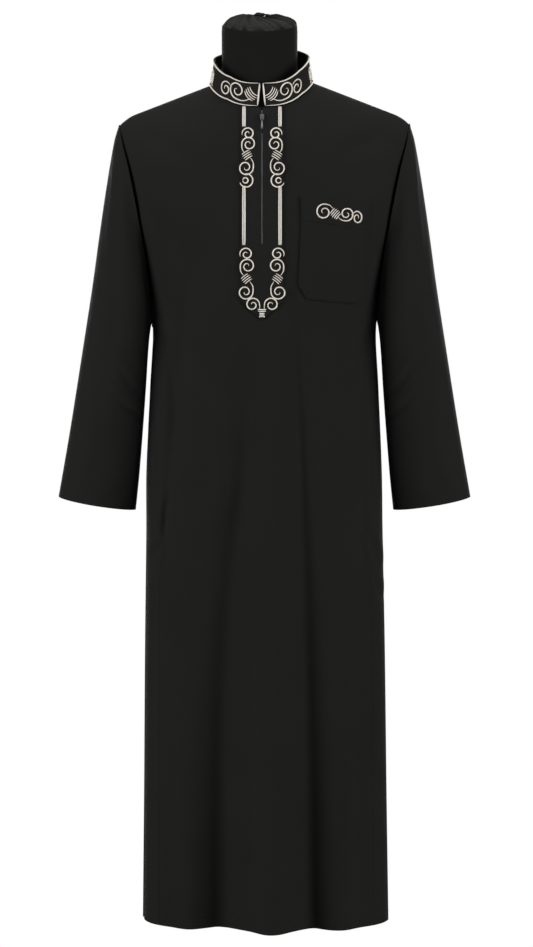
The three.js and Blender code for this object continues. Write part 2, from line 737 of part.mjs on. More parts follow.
function makeChestPocket(material) {
  const { bandLeft, bandRight, sideLeft, sideRight, bottomLeft, bottomRight } = POCKET;
  const under = ([x, z]) => [x, z - SEAM_GAP];
  const upper = quadGrid([sideLeft, sideRight, under(bandRight), under(bandLeft)], 8, 6);
  const lower = quadGrid([bottomLeft, bottomRight, sideRight, sideLeft], 8, 1);
  const grid = [lower[0], ...upper];
  return laid('chest_pocket', grid, ON_FRONT, ON_FRONT + CLOTH, material);
}

function makePocketBand(material) {
  const { bandLeft, bandRight, topLeft, topRight } = POCKET;
  const grid = quadGrid([bandLeft, bandRight, topRight, topLeft], 8, 2);
  return laid('pocket_band', grid, ON_FRONT, ON_FRONT + CLOTH + 0.5, material);
}

// --- Zip ---------------------------------------------------------------------

function zipStrip(name, half, low, high, material) {
  const topZ = neckFrontZ(PLACKET_CENTRE) - 3;
  const grid = steps(ZIP_LOW_Z, topZ, 14).map((z) => (
    [-1, 0, 1].map((share) => [PLACKET_CENTRE + share * half, z])));
  return laid(name, grid, low, high, material);
}

// A flat plate from an outline in x and z, between two distances out of the cloth (towards -Y).
function plate(outline, near, far) {
  const shape = new THREE.Shape(outline.map(([x, z]) => new THREE.Vector2(x, z)));
  const geometry = new THREE.ExtrudeGeometry(shape, { depth: far - near, bevelEnabled: false });
  return geometry.rotateX(Math.PI / 2).translate(0, -near, 0);
}

function barBox(width, depth, length, x, y, z) {
  return new THREE.BoxGeometry(width, depth, length).translate(x, y, z);
}

function toManifold(geometry) {
  const bare = geometry.clone();
  bare.deleteAttribute('normal');
  bare.deleteAttribute('uv');
  const merged = mergeVertices(bare, 1e-4);
  return new wasm.Manifold(new wasm.Mesh({
    numProp: 3,
    vertProperties: new Float32Array(merged.attributes.position.array),
    triVerts: new Uint32Array(merged.index.array),
  }));
}

// One closed mesh of several shapes that run into each other.
function joined(name, geometries, material) {
  const whole = geometries.map(toManifold).reduce((all, next) => all.add(next));
  const { vertProperties, triVerts } = whole.getMesh();
  const geometry = new THREE.BufferGeometry();
  geometry.setAttribute('position', new THREE.BufferAttribute(vertProperties, 3));
  geometry.setIndex(new THREE.BufferAttribute(triVerts, 1));
  geometry.computeVertexNormals();
  return namedMesh(name, geometry, material);
}

function namedMesh(name, geometry, material) {
  const mesh = new THREE.Mesh(geometry, material);
  mesh.name = name;
  return mesh;
}

// The slider's plate, wider at its shoulders, with a bridge over it for the pull.
function makeSlider(material) {
  const { width, length, thickness, bridgeWidth, bridgeRise, wire } = SLIDER;
  const [halfWidth, halfLength, bridgeHalf] = [width / 2, length / 2, length / 2 - 1];
  const outline = [
    [-halfWidth * 0.62, -halfLength], [halfWidth * 0.62, -halfLength], [halfWidth, halfLength * 0.2],
    [halfWidth, halfLength * 0.7], [halfWidth * 0.7, halfLength], [-halfWidth * 0.7, halfLength],
    [-halfWidth, halfLength * 0.7], [-halfWidth, halfLength * 0.2],
  ];
  const top = thickness + bridgeRise;
  const leg = (z) => barBox(bridgeWidth, bridgeRise + 0.5, wire, 0, -(thickness - 0.5 + top) / 2, z);
  const deck = barBox(bridgeWidth, wire, 2 * bridgeHalf, 0, -(top - wire / 2), 0);
  const legs = [leg(bridgeHalf - wire / 2), leg(wire / 2 - bridgeHalf)];
  return joined('zip_slider', [plate(outline, 0, thickness), deck, ...legs], material);
}

// The pull: a wire frame whose top bar runs under the bridge, and a tab below it.
function makePull(material) {
  const { width, length, wire } = PULL_FRAME;
  const bar = (z) => barBox(width, wire, wire, 0, 0, z);
  const arm = (side) => barBox(wire, wire, length + wire, side * (width - wire) / 2, 0, -length / 2);
  const half = PULL_TAB.width / 2;
  const low = -length - PULL_TAB.length;
  const tab = plate([
    [half * 0.7, -length], [half, -length - 3], [half, low + 1.5], [half * 0.5, low],
    [-half * 0.5, low], [-half, low + 1.5], [-half, -length - 3], [-half * 0.7, -length],
  ], -PULL_TAB.thickness / 2, PULL_TAB.thickness / 2);
  return joined('zip_pull', [bar(0), bar(-length), arm(1), arm(-1), tab], material);
}

// Slider and pull in a frame that lies on the placket's slope.
function makeZipHead(material) {
  const point = skinPoint(PLACKET_CENTRE, SLIDER_Z, false);
  const normal = skinNormal(point);
  const head = new THREE.Group();
  head.position.copy(point.addScaledVector(normal, ON_FRONT + CLOTH + SEAM_GAP));
  head.rotation.x = -Math.atan2(normal.z, -normal.y);
  const pull = makePull(material);
  pull.position.y = -(SLIDER.thickness + PULL_FRAME.wire / 2 + 0.4);
  head.add(makeSlider(material), pull);
  return head;
}

// --- Dress form --------------------------------------------------------------

// A closed loft through level rings, with flat ends.
function loft(name, rings, material) {
  const count = rings[0].length;
  const vertices = rings.flat();
  const triangles = [];
  for (let ring = 0; ring < rings.length - 1; ring += 1) {
    for (let step = 0; step < count; step += 1) {
      const next = (step + 1) % count;
      const [a, b] = [ring * count + step, ring * count + next];
      triangles.push([a, b, b + count], [a, b + count, a + count]);
    }
  }
  const end = (ring, turned) => {
    const centre = new THREE.Vector3();
    ring.forEach((point) => centre.addScaledVector(point, 1 / count));
    const hub = vertices.push(centre) - 1;
    const first = turned ? 0 : (rings.length - 1) * count;
    for (let step = 0; step < count; step += 1) {
      const next = (step + 1) % count;
      triangles.push(turned ? [first + next, first + step, hub] : [first + step, first + next, hub]);
    }
  };
  end(rings[0], true);
  end(rings[rings.length - 1], false);
  return solid(name, vertices, triangles, material);
}

function makeTorso(material) {
  const rings = TORSO.map(({ z, halfWidth, front, back }) => (
    Array.from({ length: TORSO_SIDES }, (_, step) => {
      const angle = (2 * Math.PI * step) / TORSO_SIDES;
      const isBack = Math.sin(angle) > 0;
      const x = halfWidth * Math.cos(angle);
      const own = (isBack ? back : front) * Math.abs(Math.sin(angle));
      const room = Math.max(0, plainDepth(x, z, isBack) - CLOTH - FORM_CLEARANCE);
      return new THREE.Vector3(x, (isBack ? 1 : -1) * Math.min(own, room), z);
    })));
  return loft('form_torso', rings, material);
}

function makeNeckBlock(material) {
  const rings = NECK_BLOCK.map(({ z, radius, ahead }, level) => {
    const gathered = level > 2 && level < NECK_BLOCK.length - 1 ? NECK_PLEAT_DEPTH : 0;
    const near = smooth((z - NECK_RIM_FROM) / NECK_RIM_REACH) * (radius / NECK_BLOCK[2].radius);
    return Array.from({ length: NECK_SIDES }, (_, step) => {
      const angle = (2 * Math.PI * step) / NECK_SIDES;
      const waved = radius + gathered * Math.cos(NECK_PLEATS * angle);
      return new THREE.Vector3(
        NECK_BLOCK_CENTRE + waved * Math.cos(angle),
        waved * Math.sin(angle) - ahead,
        z - NECK_RIM_DROP * near * Math.max(0, -Math.sin(angle)) ** 1.5,
      );
    });
  });
  return loft('form_neck', rings, material);
}

function makeNeckKnot(material) {
  const { z, ahead } = NECK_BLOCK[NECK_BLOCK.length - 1];
  const profile = [[0, 0], [7, 0], [10, 1.4], [9.5, 3], [6, 4.2], [0, 4.6]];
  const geometry = new THREE.LatheGeometry(profile.map(([r, h]) => new THREE.Vector2(r, h)), 20);
  geometry.rotateX(Math.PI / 2);
  geometry.translate(NECK_BLOCK_CENTRE, -ahead, z + SEAM_GAP);
  return namedMesh('form_neck_knot', geometry, material);
}

function disc(name, radius, low, high, sides, material) {
  const geometry = new THREE.CylinderGeometry(radius, radius, high - low, sides);
  geometry.rotateX(Math.PI / 2);
  geometry.translate(0, 0, (low + high) / 2);
  return namedMesh(name, geometry, material);
}

// --- Assembly ----------------------------------------------------------------

const suiting = new THREE.MeshStandardMaterial({ color: 0x222224, roughness: 0.9, metalness: 0 });
const braid = new THREE.MeshStandardMaterial({ color: 0xcdb48f, roughness: 0.7, metalness: 0 });
const tape = new THREE.MeshStandardMaterial({ color: 0x16161a, roughness: 0.85, metalness: 0 });
const steel = new THREE.MeshStandardMaterial({ color: 0xb9bcc0, roughness: 0.3, metalness: 1 });
const formCover = new THREE.MeshStandardMaterial({ color: 0x1d1d20, roughness: 0.9, metalness: 0 });
const formShell = new THREE.MeshStandardMaterial({ color: 0x19191b, roughness: 0.9, metalness: 0 });
const standSteel = new THREE.MeshStandardMaterial({ color: 0x2b2c2f, roughness: 0.5, metalness: 0.6 });

const abaya = new THREE.Group();
abaya.position.z = -FLOOR_Z;
const front = makePanel('front', false, suiting);
const back = makePanel('back', true, suiting);
abaya.add(front.mesh, back.mesh);
abaya.add(makeSleeve('sleeve_left', front.left, back.left, 1, suiting));
abaya.add(makeSleeve('sleeve_right', front.right, back.right, -1, suiting));
abaya.add(makeCollar(suiting));
abaya.add(makePlacket(suiting));
abaya.add(makeBraid('braid_top_right', -1, BRAID_TOP, braid));
abaya.add(makeBraid('braid_top_left', 1, BRAID_TOP, braid));
abaya.add(makeBraid('braid_low_right', -1, BRAID_LOW, braid));
abaya.add(makeBraid('braid_low_left', 1, BRAID_LOW, braid));
abaya.add(makeChestPocket(suiting));
abaya.add(makePocketBand(suiting));
const tapeTop = -CLOTH - BEHIND_FRONT;
abaya.add(zipStrip('zip_chain', CHAIN_HALF, -CLOTH, 0, steel));
abaya.add(zipStrip('zip_tape', TAPE_HALF, tapeTop - TAPE_CLOTH, tapeTop, tape));
abaya.add(makeZipHead(steel));
abaya.add(makeTorso(formShell));
abaya.add(makeNeckBlock(formCover));
abaya.add(makeNeckKnot(formCover));
const baseTop = FLOOR_Z + BASE_THICKNESS;
abaya.add(disc('form_pole', POLE_RADIUS, baseTop + SEAM_GAP, TORSO[0].z - SEAM_GAP, 20, standSteel));
abaya.add(disc('form_base', BASE_RADIUS, FLOOR_Z, baseTop, 48, standSteel));

export default abaya;
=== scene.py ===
"""Looks of a long embroidered abaya on a limbless dress form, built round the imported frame."""
import math

import bpy
import numpy as np
from bpy.props import FloatProperty, FloatVectorProperty, PointerProperty
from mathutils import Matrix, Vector


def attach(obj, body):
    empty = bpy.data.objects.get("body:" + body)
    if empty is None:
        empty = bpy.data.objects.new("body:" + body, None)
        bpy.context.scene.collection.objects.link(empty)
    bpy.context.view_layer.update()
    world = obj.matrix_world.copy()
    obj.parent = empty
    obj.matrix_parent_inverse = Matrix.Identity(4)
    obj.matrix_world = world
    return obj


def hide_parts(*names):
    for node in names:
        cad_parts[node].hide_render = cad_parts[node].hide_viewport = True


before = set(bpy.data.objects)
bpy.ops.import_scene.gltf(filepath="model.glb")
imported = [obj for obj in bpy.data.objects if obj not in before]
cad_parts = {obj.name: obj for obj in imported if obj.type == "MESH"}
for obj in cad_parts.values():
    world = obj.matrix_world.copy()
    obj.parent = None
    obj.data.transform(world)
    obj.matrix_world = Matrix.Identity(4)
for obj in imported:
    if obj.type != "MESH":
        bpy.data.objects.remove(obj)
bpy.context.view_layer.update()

bl_info = {
    "name": "Embroidered abaya",
    "version": (1, 0, 0),
    "blender": (4, 5, 0),
    "location": "View3D > Sidebar > Abaya",
    "description": "Builds the cloth, embroidery, zip and dress form of a long abaya",
    "category": "Add Mesh",
}

ROBE = "robe_on_form"
PULL = "zip_pull"

# --- The garment's own sizes, in millimetres --------------------------------
# Heights are the cutter's, FLOOR_Z over the underside of the stand. The panels' surface is the
# same formula as the frame's, so each piece lies on the solid that it stands for.

MM = 0.001
FLOOR_Z = 9.5
CLOTH = 1.6
SEAM_GAP = 0.3
UNDERARM_Z = 1010.0
SECTION_POWER = 2.4

NECK_CENTRE = -5.0
NECK_HALF_WIDTH = 84.0
NECK_HALF_DEPTH = 74.5
FRONT_NECK_POWER = 3.0
BACK_NECK_POWER = 2.2
COLLAR_HEIGHT = {"front": 40.0, "back": 50.0}
COLLAR_CLOTH = 2.4
COLLAR_LEAN_SIDE = 7.0
COLLAR_LEAN_FRONT = 5.0
COLLAR_GAP_BASE = 5.0
COLLAR_GAP_TOP = 1.8
COLLAR_REACH = 81.0  # of collar for each radian round the neck

DOME_Z = 1100.0
FRONT_DOME_POWER = 2.6
BACK_DOME_POWER = 4.0
BACK_NECK_RISE = 50.0
BACK_NECK_REACH = 86.0

SHOULDER_CENTRE = 1.0
SHOULDER_NECK_X = 100.0
SHOULDER_NECK_Z = 1389.0
SHOULDER_SLOPE = 0.385
SHOULDER_DROP_X = 212.0
SHOULDER_DROP = 0.012
SHOULDER_POINT_X = 236.0

PLACKET_CENTRE = -4.0
PLACKET_HALF_WIDTH = 34.0
PLACKET_TIP_Z = 1015.0
PLACKET_SHOULDER_Z = 1046.0
PLACKET_SLIT_HALF = 1.3
ZIP_END_Z = 1137.0
FRONT_SLIT_HALF = 3.0
FRONT_SLIT_END_Z = 1074.0
BRAID_OFFSET = 29.0
BRAID_WIDTH = 6.0
BRAID_TOP = {"low": 1325.0, "high": 1358.0}
BRAID_LOW = {"low": 1136.0, "high": 1232.0}
ON_FRONT = 0.7


def table(names, rows):
    """Named columns of a short table, the first of them its key."""
    values = np.array(rows, dtype=float)
    named = {name: values[:, i] for i, name in enumerate(names.split())}
    return {"key": values[:, 0], **named}


BODY = table("z half_width centre front back seam", [
    (14, 204.3, 3.3, 117, 118, 60),
    (227, 201.2, 2.5, 116, 116, 61),
    (470, 198.4, 1.8, 114, 113, 61.5),
    (662, 195, 0.8, 113, 111, 62),
    (762, 194, 0, 112, 110, 65),
    (894, 187.7, 0, 112, 109, 76),
    (1010, 184.5, 0, 113, 109, 90),
    (1114, 206, 0, 115, 110, 90),
    (1196, 236, 0, 115, 110, 90),
    (1259, 245, 0, 115, 110, 90),
    (1330, 250, 0, 115, 110, 90),
])
ARMHOLE = table("z x", [
    (1010, 184.5), (1060, 188.8), (1114, 195), (1196, 207.7),
    (1259, 220.6), (1300, 231), (1330, 236),
])
FOLD_COLUMNS = "z x spread rise"
FRONT_FOLDS = {
    "centre ridge": table(FOLD_COLUMNS, [
        (14, 9, 36, 34), (350, 6, 34, 20), (700, 2, 30, 8), (1000, 0, 30, 0)]),
    "left trough": table(FOLD_COLUMNS, [
        (14, 81, 20, -19), (350, 77, 18, -17), (732, 67, 13, -11), (1000, 50, 11, -5),
        (1100, 43, 9, 0)]),
    "left ridge": table(FOLD_COLUMNS, [
        (14, 132, 24, 12), (600, 128, 24, 4), (900, 120, 24, 0)]),
    "right trough": table(FOLD_COLUMNS, [
        (14, -80, 31, -30), (350, -78, 29, -22), (600, -66, 25, -12), (760, -42, 18, -8),
        (1050, -24, 12, 0)]),
    "right ridge": table(FOLD_COLUMNS, [
        (14, -124, 20, 8), (500, -120, 20, 3), (800, -110, 20, 0)]),
    "far right trough": table(FOLD_COLUMNS, [
        (560, -160, 10, 0), (732, -158, 11, -6), (1000, -132, 12, -5), (1120, -118, 12, 0)]),
    "far left trough": table(FOLD_COLUMNS, [
        (560, 163, 12, 0), (732, 165, 12, -4), (1000, 166, 12, -3), (1150, 172, 12, 0)]),
}
BACK_FOLDS = {
    "centre trough": table(FOLD_COLUMNS, [(14, -6, 24, -16), (600, -4, 20, -9), (1150, 0, 16, 0)]),
    "left ridge": table(FOLD_COLUMNS, [(14, 56, 30, 26), (500, 52, 28, 12), (1000, 44, 26, 0)]),
    "left trough": table(FOLD_COLUMNS, [
        (14, 112, 18, -12), (600, 106, 16, -6), (1050, 98, 14, 0)]),
    "right ridge": table(FOLD_COLUMNS, [(14, -66, 30, 22), (500, -60, 28, 10), (950, -54, 26, 0)]),
    "right trough": table(FOLD_COLUMNS, [
        (14, -124, 18, -10), (600, -116, 16, -6), (1050, -104, 14, 0)]),
}
# The side pocket's mouth at the front's side seam: its lowest and highest points and how far it
# gapes, in millimetres.
POCKET_MOUTH = {"low": 588.0, "high": 742.0, "gape": 3.5}

SLEEVE_OUTER = table("z x", [
    (718, 338.3), (828, 318.9), (960, 297.6), (1065, 281),
    (1144, 269.9), (1223, 258.1), (1301, 244.6), (1329, 236.4)])
SLEEVE_INNER = table("z x", [
    (697, 213.5), (762, 207), (894, 196.4), (960, 191.8), (1010, 186)])
SLEEVE_DEPTH = table("s half", [(0, 62), (0.12, 72), (0.35, 78), (0.7, 68), (1, 56)])
ARMHOLE_GAP = 0.45

POCKET = {
    "top_left": (58, 1214), "top_right": (168, 1202),
    "band_left": (59.5, 1176.5), "band_right": (166.5, 1161.5),
    "side_left": (54.5, 1071.5), "side_right": (167, 1058),
    "bottom_left": (68.5, 1049.5), "bottom_right": (153, 1040),
}

NECK_BLOCK = table("z radius ahead", [
    (1391.5, 58, 0), (1400, 61.5, 0), (1480, 62, 0), (1489, 61.5, 0), (1494.5, 60, 0),
    (1499, 56.5, 0), (1503.5, 49, 0), (1507, 37, 1), (1508.8, 27, 5), (1508, 18.5, 10),
    (1505.5, 13, 14),
])
NECK_BLOCK_CENTRE = -8.0
NECK_GATHERS = 13
NECK_RIM_DROP = 10.0
NECK_RIM_FROM = 1440.0
NECK_RIM_REACH = 40.0
TORSO = table("z half_width front back", [
    (735, 148, 92, 94), (765, 158, 99, 96), (850, 160, 101, 97), (960, 144, 96, 90),
    (1090, 150, 101, 96), (1190, 172, 104, 100), (1260, 190, 98, 97), (1310, 200, 88, 92),
    (1332, 200, 80, 86), (1350, 180, 74, 82), (1364, 146, 68, 76), (1377, 112, 62, 70),
    (1388, 80, 56, 62), (1391, 62, 48, 52),
])
FORM_CLEARANCE = 4.0
BASE_RADIUS = 88.0
BASE_THICKNESS = 8.0
POLE_RADIUS = 14.0

ZIP_LOW_Z = FRONT_SLIT_END_Z + 14
SLIDER_Z = 1341.0
TOOTH_PITCH = 1.35
TAPE_HALF = 13.0
BEHIND_FRONT = 1.1
SLIDER = {"width": 8.0, "length": 9.0, "thickness": 2.4, "bridge_width": 1.8,
          "bridge_rise": 3.4, "wire": 1.1}
PULL_FRAME = {"width": 6.4, "length": 5.6, "wire": 1.2}
PULL_TAB = {"width": 3.4, "length": 17.0, "thickness": 1.1}

HEM_STITCH = 15.0
CUFF_STITCH = 13.0
ZIP_STITCH = {"half": 6.0, "top": 1344.0, "low": 1074.0, "shield": 14.0}
CORD_RADIUS = 1.25
SATIN_RADIUS = 0.8
THREAD_ROUND = 0.01  # metres of UV map round a thread
PIPING_RADIUS = 1.5
STITCH_LENGTH = 3.2
STITCH_GAP = 0.9

# Scrollwork. A scroll winds from its outer end to its eye: start is the outer end's direction from
# the centre, turn +1 winds it counter-clockwise, lead is the cord's way to it, as places from the
# centre, and stretch makes it narrower or taller. A hatch is a block of satin strokes. On the
# placket, places are out from the zip and up, mirrored for the other side.
PLACKET_SCROLLS = [
    {"kind": "scroll", "out": 22.2, "z": 1314.4, "size": 10.0, "turn": 1, "start": -12,
     "lead": []},
    {"kind": "scroll", "out": 21.2, "z": 1298.0, "size": 11.2, "turn": 1, "start": 5,
     "lead": [(6.8, -14), (10.6, -8)]},
    {"kind": "hatch", "out": 23.8, "z": 1280.4, "length": 17, "spacing": 3.5, "count": 4,
     "tilt": -32},
    {"kind": "scroll", "out": 26.0, "z": 1260.6, "size": 12.0, "turn": 1, "start": 185,
     "lead": [(-7.5, 16), (-11.8, 8)]},
    {"kind": "hook", "out": 25.4, "z": 1240.2, "size": 10.6, "start": 75, "sweep": 268},
    {"kind": "ring", "out": 26.6, "z": 1240.2, "size": 4.2},
    {"kind": "scroll", "out": 25.2, "z": 1122.4, "size": 10.4, "turn": 1, "start": -25, "lead": []},
    {"kind": "scroll", "out": 23.2, "z": 1103.0, "size": 11.6, "turn": 1, "start": 5,
     "lead": [(6.4, -15.5), (10.8, -8.5)]},
    {"kind": "hatch", "out": 25.0, "z": 1082.4, "length": 17, "spacing": 3.5, "count": 4,
     "tilt": -38},
    {"kind": "scroll", "out": 26.6, "z": 1061.0, "size": 12.0, "turn": 1, "start": 185,
     "lead": [(-7.0, 17.5), (-11.8, 9)]},
    {"kind": "scroll", "out": 15.2, "z": 1040.6, "size": 11.4, "turn": -1, "start": 185,
     "lead": [(-11.6, -7.5)]},
]
# The finial's bars under the scrolls: height and half length.
FINIAL = [(1032.6, 7.4), (1029.8, 7.0), (1026.4, 4.6), (1023.8, 4.2)]
FINIAL_FEET = [(3.4, 1023.4, 1019.6), (0.9, 1022.6, 1020.4)]

# The collar's scrolls on one side: out along the collar from its front edge, up from its seam.
COLLAR_SCROLLS = [
    {"kind": "hatch", "out": 16.4, "up": 22.0, "length": 25, "spacing": 3.8, "count": 4, "tilt": 47,
     "bow": -3.0},
    {"kind": "scroll", "out": 41.2, "up": 23.4, "size": 13.4, "turn": 1, "start": 275,
     "lead": [(-24.5, -9.5), (-12, -14.2)]},
    {"kind": "scroll", "out": 63.6, "up": 18.6, "size": 11.6, "turn": -1, "start": 140,
     "lead": []},
]
COLLAR_GRAIN = {"out": 112.0, "up": 18.0, "wide": 20.0, "high": 22.0, "knots": 150}

# The chest pocket's motif: across from the garment's middle and up, in the front view.
POCKET_SCROLLS = [
    {"kind": "scroll", "x": 95.4, "z": 1189.8, "size": 12.6, "turn": 1, "start": 70,
     "lead": [(14.2, 5.2), (9.6, 10.2)]},
    {"kind": "hatch", "x": 113.8, "z": 1186.8, "length": 16.5, "spacing": 3.3, "count": 5,
     "tilt": 48},
    {"kind": "scroll", "x": 131.5, "z": 1186.2, "size": 11.0, "turn": 1, "start": 265,
     "lead": [(-14.0, -4.6), (-8.0, -9.6)]},
    {"kind": "scroll", "x": 148.4, "z": 1180.2, "size": 10.4, "turn": -1, "start": 130,
     "lead": [(-9.4, 4.5)], "stretch": (0.78, 1.0)},
]

# Fine creases of the front, as soft troughs (a ridge is positive): a line in the front view, its
# half width and its rise.
FRONT_CREASES = [
    ("pocket mouth drag right", [(-155, 742), (-163, 679), (-169, 650)], 5, -2.2),
    ("pocket drag right, low", [(-169, 652), (-176, 636), (-184, 618)], 6, -2.4),
    ("pocket drag left, high", [(170, 672), (179, 640), (189, 600)], 5, -2.6),
    ("pocket drag left, low", [(181, 588), (188, 568), (195, 548)], 5, -2.0),
    ("underarm drag right", [(-182, 1010), (-160, 950), (-150, 870)], 9, -2.6),
    ("underarm drag left", [(182, 1012), (164, 960), (156, 890)], 9, -2.4),
    ("chest hollow right", [(-196, 1215), (-165, 1165), (-140, 1120)], 14, -2.4),
    ("chest hollow left", [(198, 1225), (180, 1150), (174, 1080)], 12, -2.6),
    ("shoulder drag right", [(-205, 1318), (-150, 1290), (-100, 1270)], 14, -1.6),
    ("shoulder drag left", [(205, 1318), (150, 1295), (100, 1275)], 14, -1.6),
    ("lap right", [(-20, 1120), (-22, 900), (-26, 700), (-29, 480), (-30, 200), (-30, -300)],
     38, -8.6),
    ("lap right, edge", [(-66, 900), (-78, 700), (-88, 480), (-92, 200), (-92, -300)], 15, 3.5),
    ("centre left", [(42, 1060), (46, 800), (51, 560), (53, 200), (54, -300)], 25, -7.4),
    ("armhole edge right", [(-237, 1350), (-222, 1262), (-209, 1196), (-197, 1114), (-187, 1016),
                            (-185, 930)], 13, -5.0),
    ("armhole edge left", [(237, 1350), (222, 1262), (209, 1196), (197, 1114), (187, 1016),
                           (185, 930)], 13, -5.0),
    ("side hollow right", [(-168, 1120), (-152, 980), (-148, 860), (-150, 740)], 24, -6.5),
    ("side hollow left", [(172, 1140), (164, 1000), (160, 880), (162, 760)], 20, -4.0),
    ("outer right", [(-150, 500), (-152, 260), (-154, -100)], 16, -1.6),
    ("outer left", [(150, 460), (154, 240), (156, -100)], 16, -1.6),
]
BACK_CREASES = [
    ("blade drag right", [(-196, 1215), (-150, 1160), (-110, 1080)], 14, -2.4),
    ("blade drag left", [(196, 1222), (155, 1170), (120, 1100)], 14, -2.2),
    ("seat right", [(-150, 900), (-120, 760), (-110, 560)], 10, -2.4),
    ("seat left", [(150, 880), (128, 720), (118, 520)], 10, -2.4),
    ("centre", [(10, 1000), (14, 760), (12, 400)], 9, -2.0),
    ("low right", [(-30, 520), (-28, 260), (-30, 30)], 8, -2.6),
    ("low left", [(30, 480), (26, 240), (24, 30)], 8, -2.4),
]


# --- The camera and the lights, in metres, degrees and watts ---------------------

# The camera stands 6.5 m off, level with the collar, and looks a little down. The picture is 947
# rows high, and a row spans 1.65 mm at the robe.
DISTANCE = 6.5
PITCH = 5.4
AIM_Z = 0.756 - FLOOR_Z * MM
ROWS = 947
ROW_SPAN = 1.65 * MM
FRAME_HALF_HEIGHT = ROWS / 2 * ROW_SPAN
CAMERA = {
    "x": 0.0033,
    "y": -DISTANCE * math.cos(math.radians(PITCH)),
    "z": AIM_Z + DISTANCE * math.sin(math.radians(PITCH)),
    "pitch": PITCH,
    "lens": 18 * DISTANCE / FRAME_HALF_HEIGHT,
}

# Light on the garment from the room and from the floor, as a share of white, and the studio's own
# lights: place, size and power.
ROOM_LIGHT = 0.09
FLOOR_LIGHT = 0.05
STUDIO_LIGHTS = (
    ("right_softbox", (-5.0, -2.7, 1.6), 3.0, 210),
    ("left_softbox", (5.0, -2.8, 1.6), 3.0, 200),
    ("front_softbox", (0.0, -2.8, 3.9), 1.6, 34),
    ("top_softbox", (0.0, 0.6, 4.2), 1.0, 30),
    ("back_right_softbox", (-2.2, 6.0, 2.0), 2.0, 150),
    ("back_left_softbox", (2.2, 6.0, 2.0), 2.0, 150),
)


# --- What a user would change ---------------------------------------------------

def colour(hex_value, alpha=1.0):
    """An sRGB hex value as linear light."""
    channels = [int(hex_value[i:i + 2], 16) / 255 for i in (1, 3, 5)]
    linear = [c / 12.92 if c <= 0.04045 else ((c + 0.055) / 1.055) ** 2.4 for c in channels]
    return (*linear, alpha)


def length_property(name, description, millimetres, most):
    return FloatProperty(name=name, description=description, default=millimetres * MM,
                         min=0.0001, max=most * MM, precision=5, unit="LENGTH",
                         subtype="DISTANCE")


def colour_property(name, description, hex_value):
    return FloatVectorProperty(name=name, description=description, subtype="COLOR", size=4,
                               min=0.0, max=1.0, default=colour(hex_value))


class RobeSizes(bpy.types.PropertyGroup):
    """Sizes of the sewn and corded work, and how strong the cloth's creases are"""
    crease_depth: FloatProperty(
        name="Crease depth", description="Strength of the cloth's fine creases, 1 is as built",
        default=1.0, min=0.0, max=1.5, subtype="FACTOR")
    cord_radius: length_property(
        "Cord radius", "Radius of the couched cord of the scrolls", CORD_RADIUS, 2.0)
    piping_radius: length_property(
        "Piping radius", "Radius of the cord round the collar", PIPING_RADIUS, 2.5)
    stitch_length: length_property(
        "Stitch length", "Length of one running stitch", STITCH_LENGTH, 6.0)
    tooth_pitch: length_property(
        "Tooth pitch", "Distance from one zip tooth to the next", TOOTH_PITCH, 3.0)


class RobeFinishes(bpy.types.PropertyGroup):
    """Colours of the cloth, the cord, the metal and the dress form"""
    cloth_deep: colour_property("Cloth, deep", "Darker tone of the twill's dye", "#1a1a19")
    cloth_pale: colour_property("Cloth, pale", "Lighter tone of the twill's dye", "#20201f")
    cord_top: colour_property("Cord, top", "The rayon cord where it faces out", "#fdf7ec")
    # Painted shade: the tan tone stands for the shade where the cord turns under towards the cloth.
    cord_painted_shade: colour_property("Cord, under", "The rayon cord where it turns under", "#a98f6e")
    thread: colour_property("Thread", "Sewing thread", "#1a1a19")
    jersey_deep: colour_property("Jersey, deep", "Darker tone of the form's cover", "#121211")
    # Painted light: the pale tone is laid on where the cover faces up, as well as at random through
    # its cloudy tone.
    jersey_pale_and_top_light: colour_property("Jersey, pale", "Lighter tone of the form's cover", "#313130")
    metal: colour_property("Metal", "Slider and pull", "#6a6b6e")


def sizes():
    return bpy.context.scene.robe_sizes


def finishes():
    return bpy.context.scene.robe_finishes


# --- Small helpers ------------------------------------------------------------

def mix(low, high, share):
    return low + (high - low) * share


def smooth(value):
    value = np.clip(value, 0, 1)
    return value * value * (3 - 2 * value)


def along(rows, at, column):
    """A table's column at any place along its key, on a smooth curve through the rows."""
    keys, values = rows["key"], rows[column]
    slopes = np.empty_like(values)
    slopes[1:-1] = (values[2:] - values[:-2]) / (keys[2:] - keys[:-2])
    slopes[0] = (values[1] - values[0]) / (keys[1] - keys[0])
    slopes[-1] = (values[-1] - values[-2]) / (keys[-1] - keys[-2])
    at = np.clip(np.asarray(at, dtype=float), keys[0], keys[-1])
    row = np.clip(np.searchsorted(keys, at, side="right") - 1, 0, len(keys) - 2)
    span = keys[row + 1] - keys[row]
    t = (at - keys[row]) / span
    low, high = values[row], values[row + 1]
    low_slope, high_slope = slopes[row] * span, slopes[row + 1] * span
    bend = 2 * low - 2 * high + low_slope + high_slope
    return low + t * (low_slope + t * (3 * (high - low) - 2 * low_slope - high_slope + t * bend))


def unit(vectors):
    return vectors / np.maximum(np.linalg.norm(vectors, axis=-1, keepdims=True), 1e-12)


# --- The body's surface ---------------------------------------------------------

def fold_rise(folds, x, z):
    rise = np.zeros(np.broadcast(x, z).shape)
    for rows in folds.values():
        offset = (x - along(rows, z, "x")) / along(rows, z, "spread")
        rise += along(rows, z, "rise") * np.exp(-offset * offset)
    side = np.clip(np.abs(x - along(BODY, z, "centre")) / along(BODY, z, "half_width"), 0, 1)
    return rise * (1 - side ** 6)


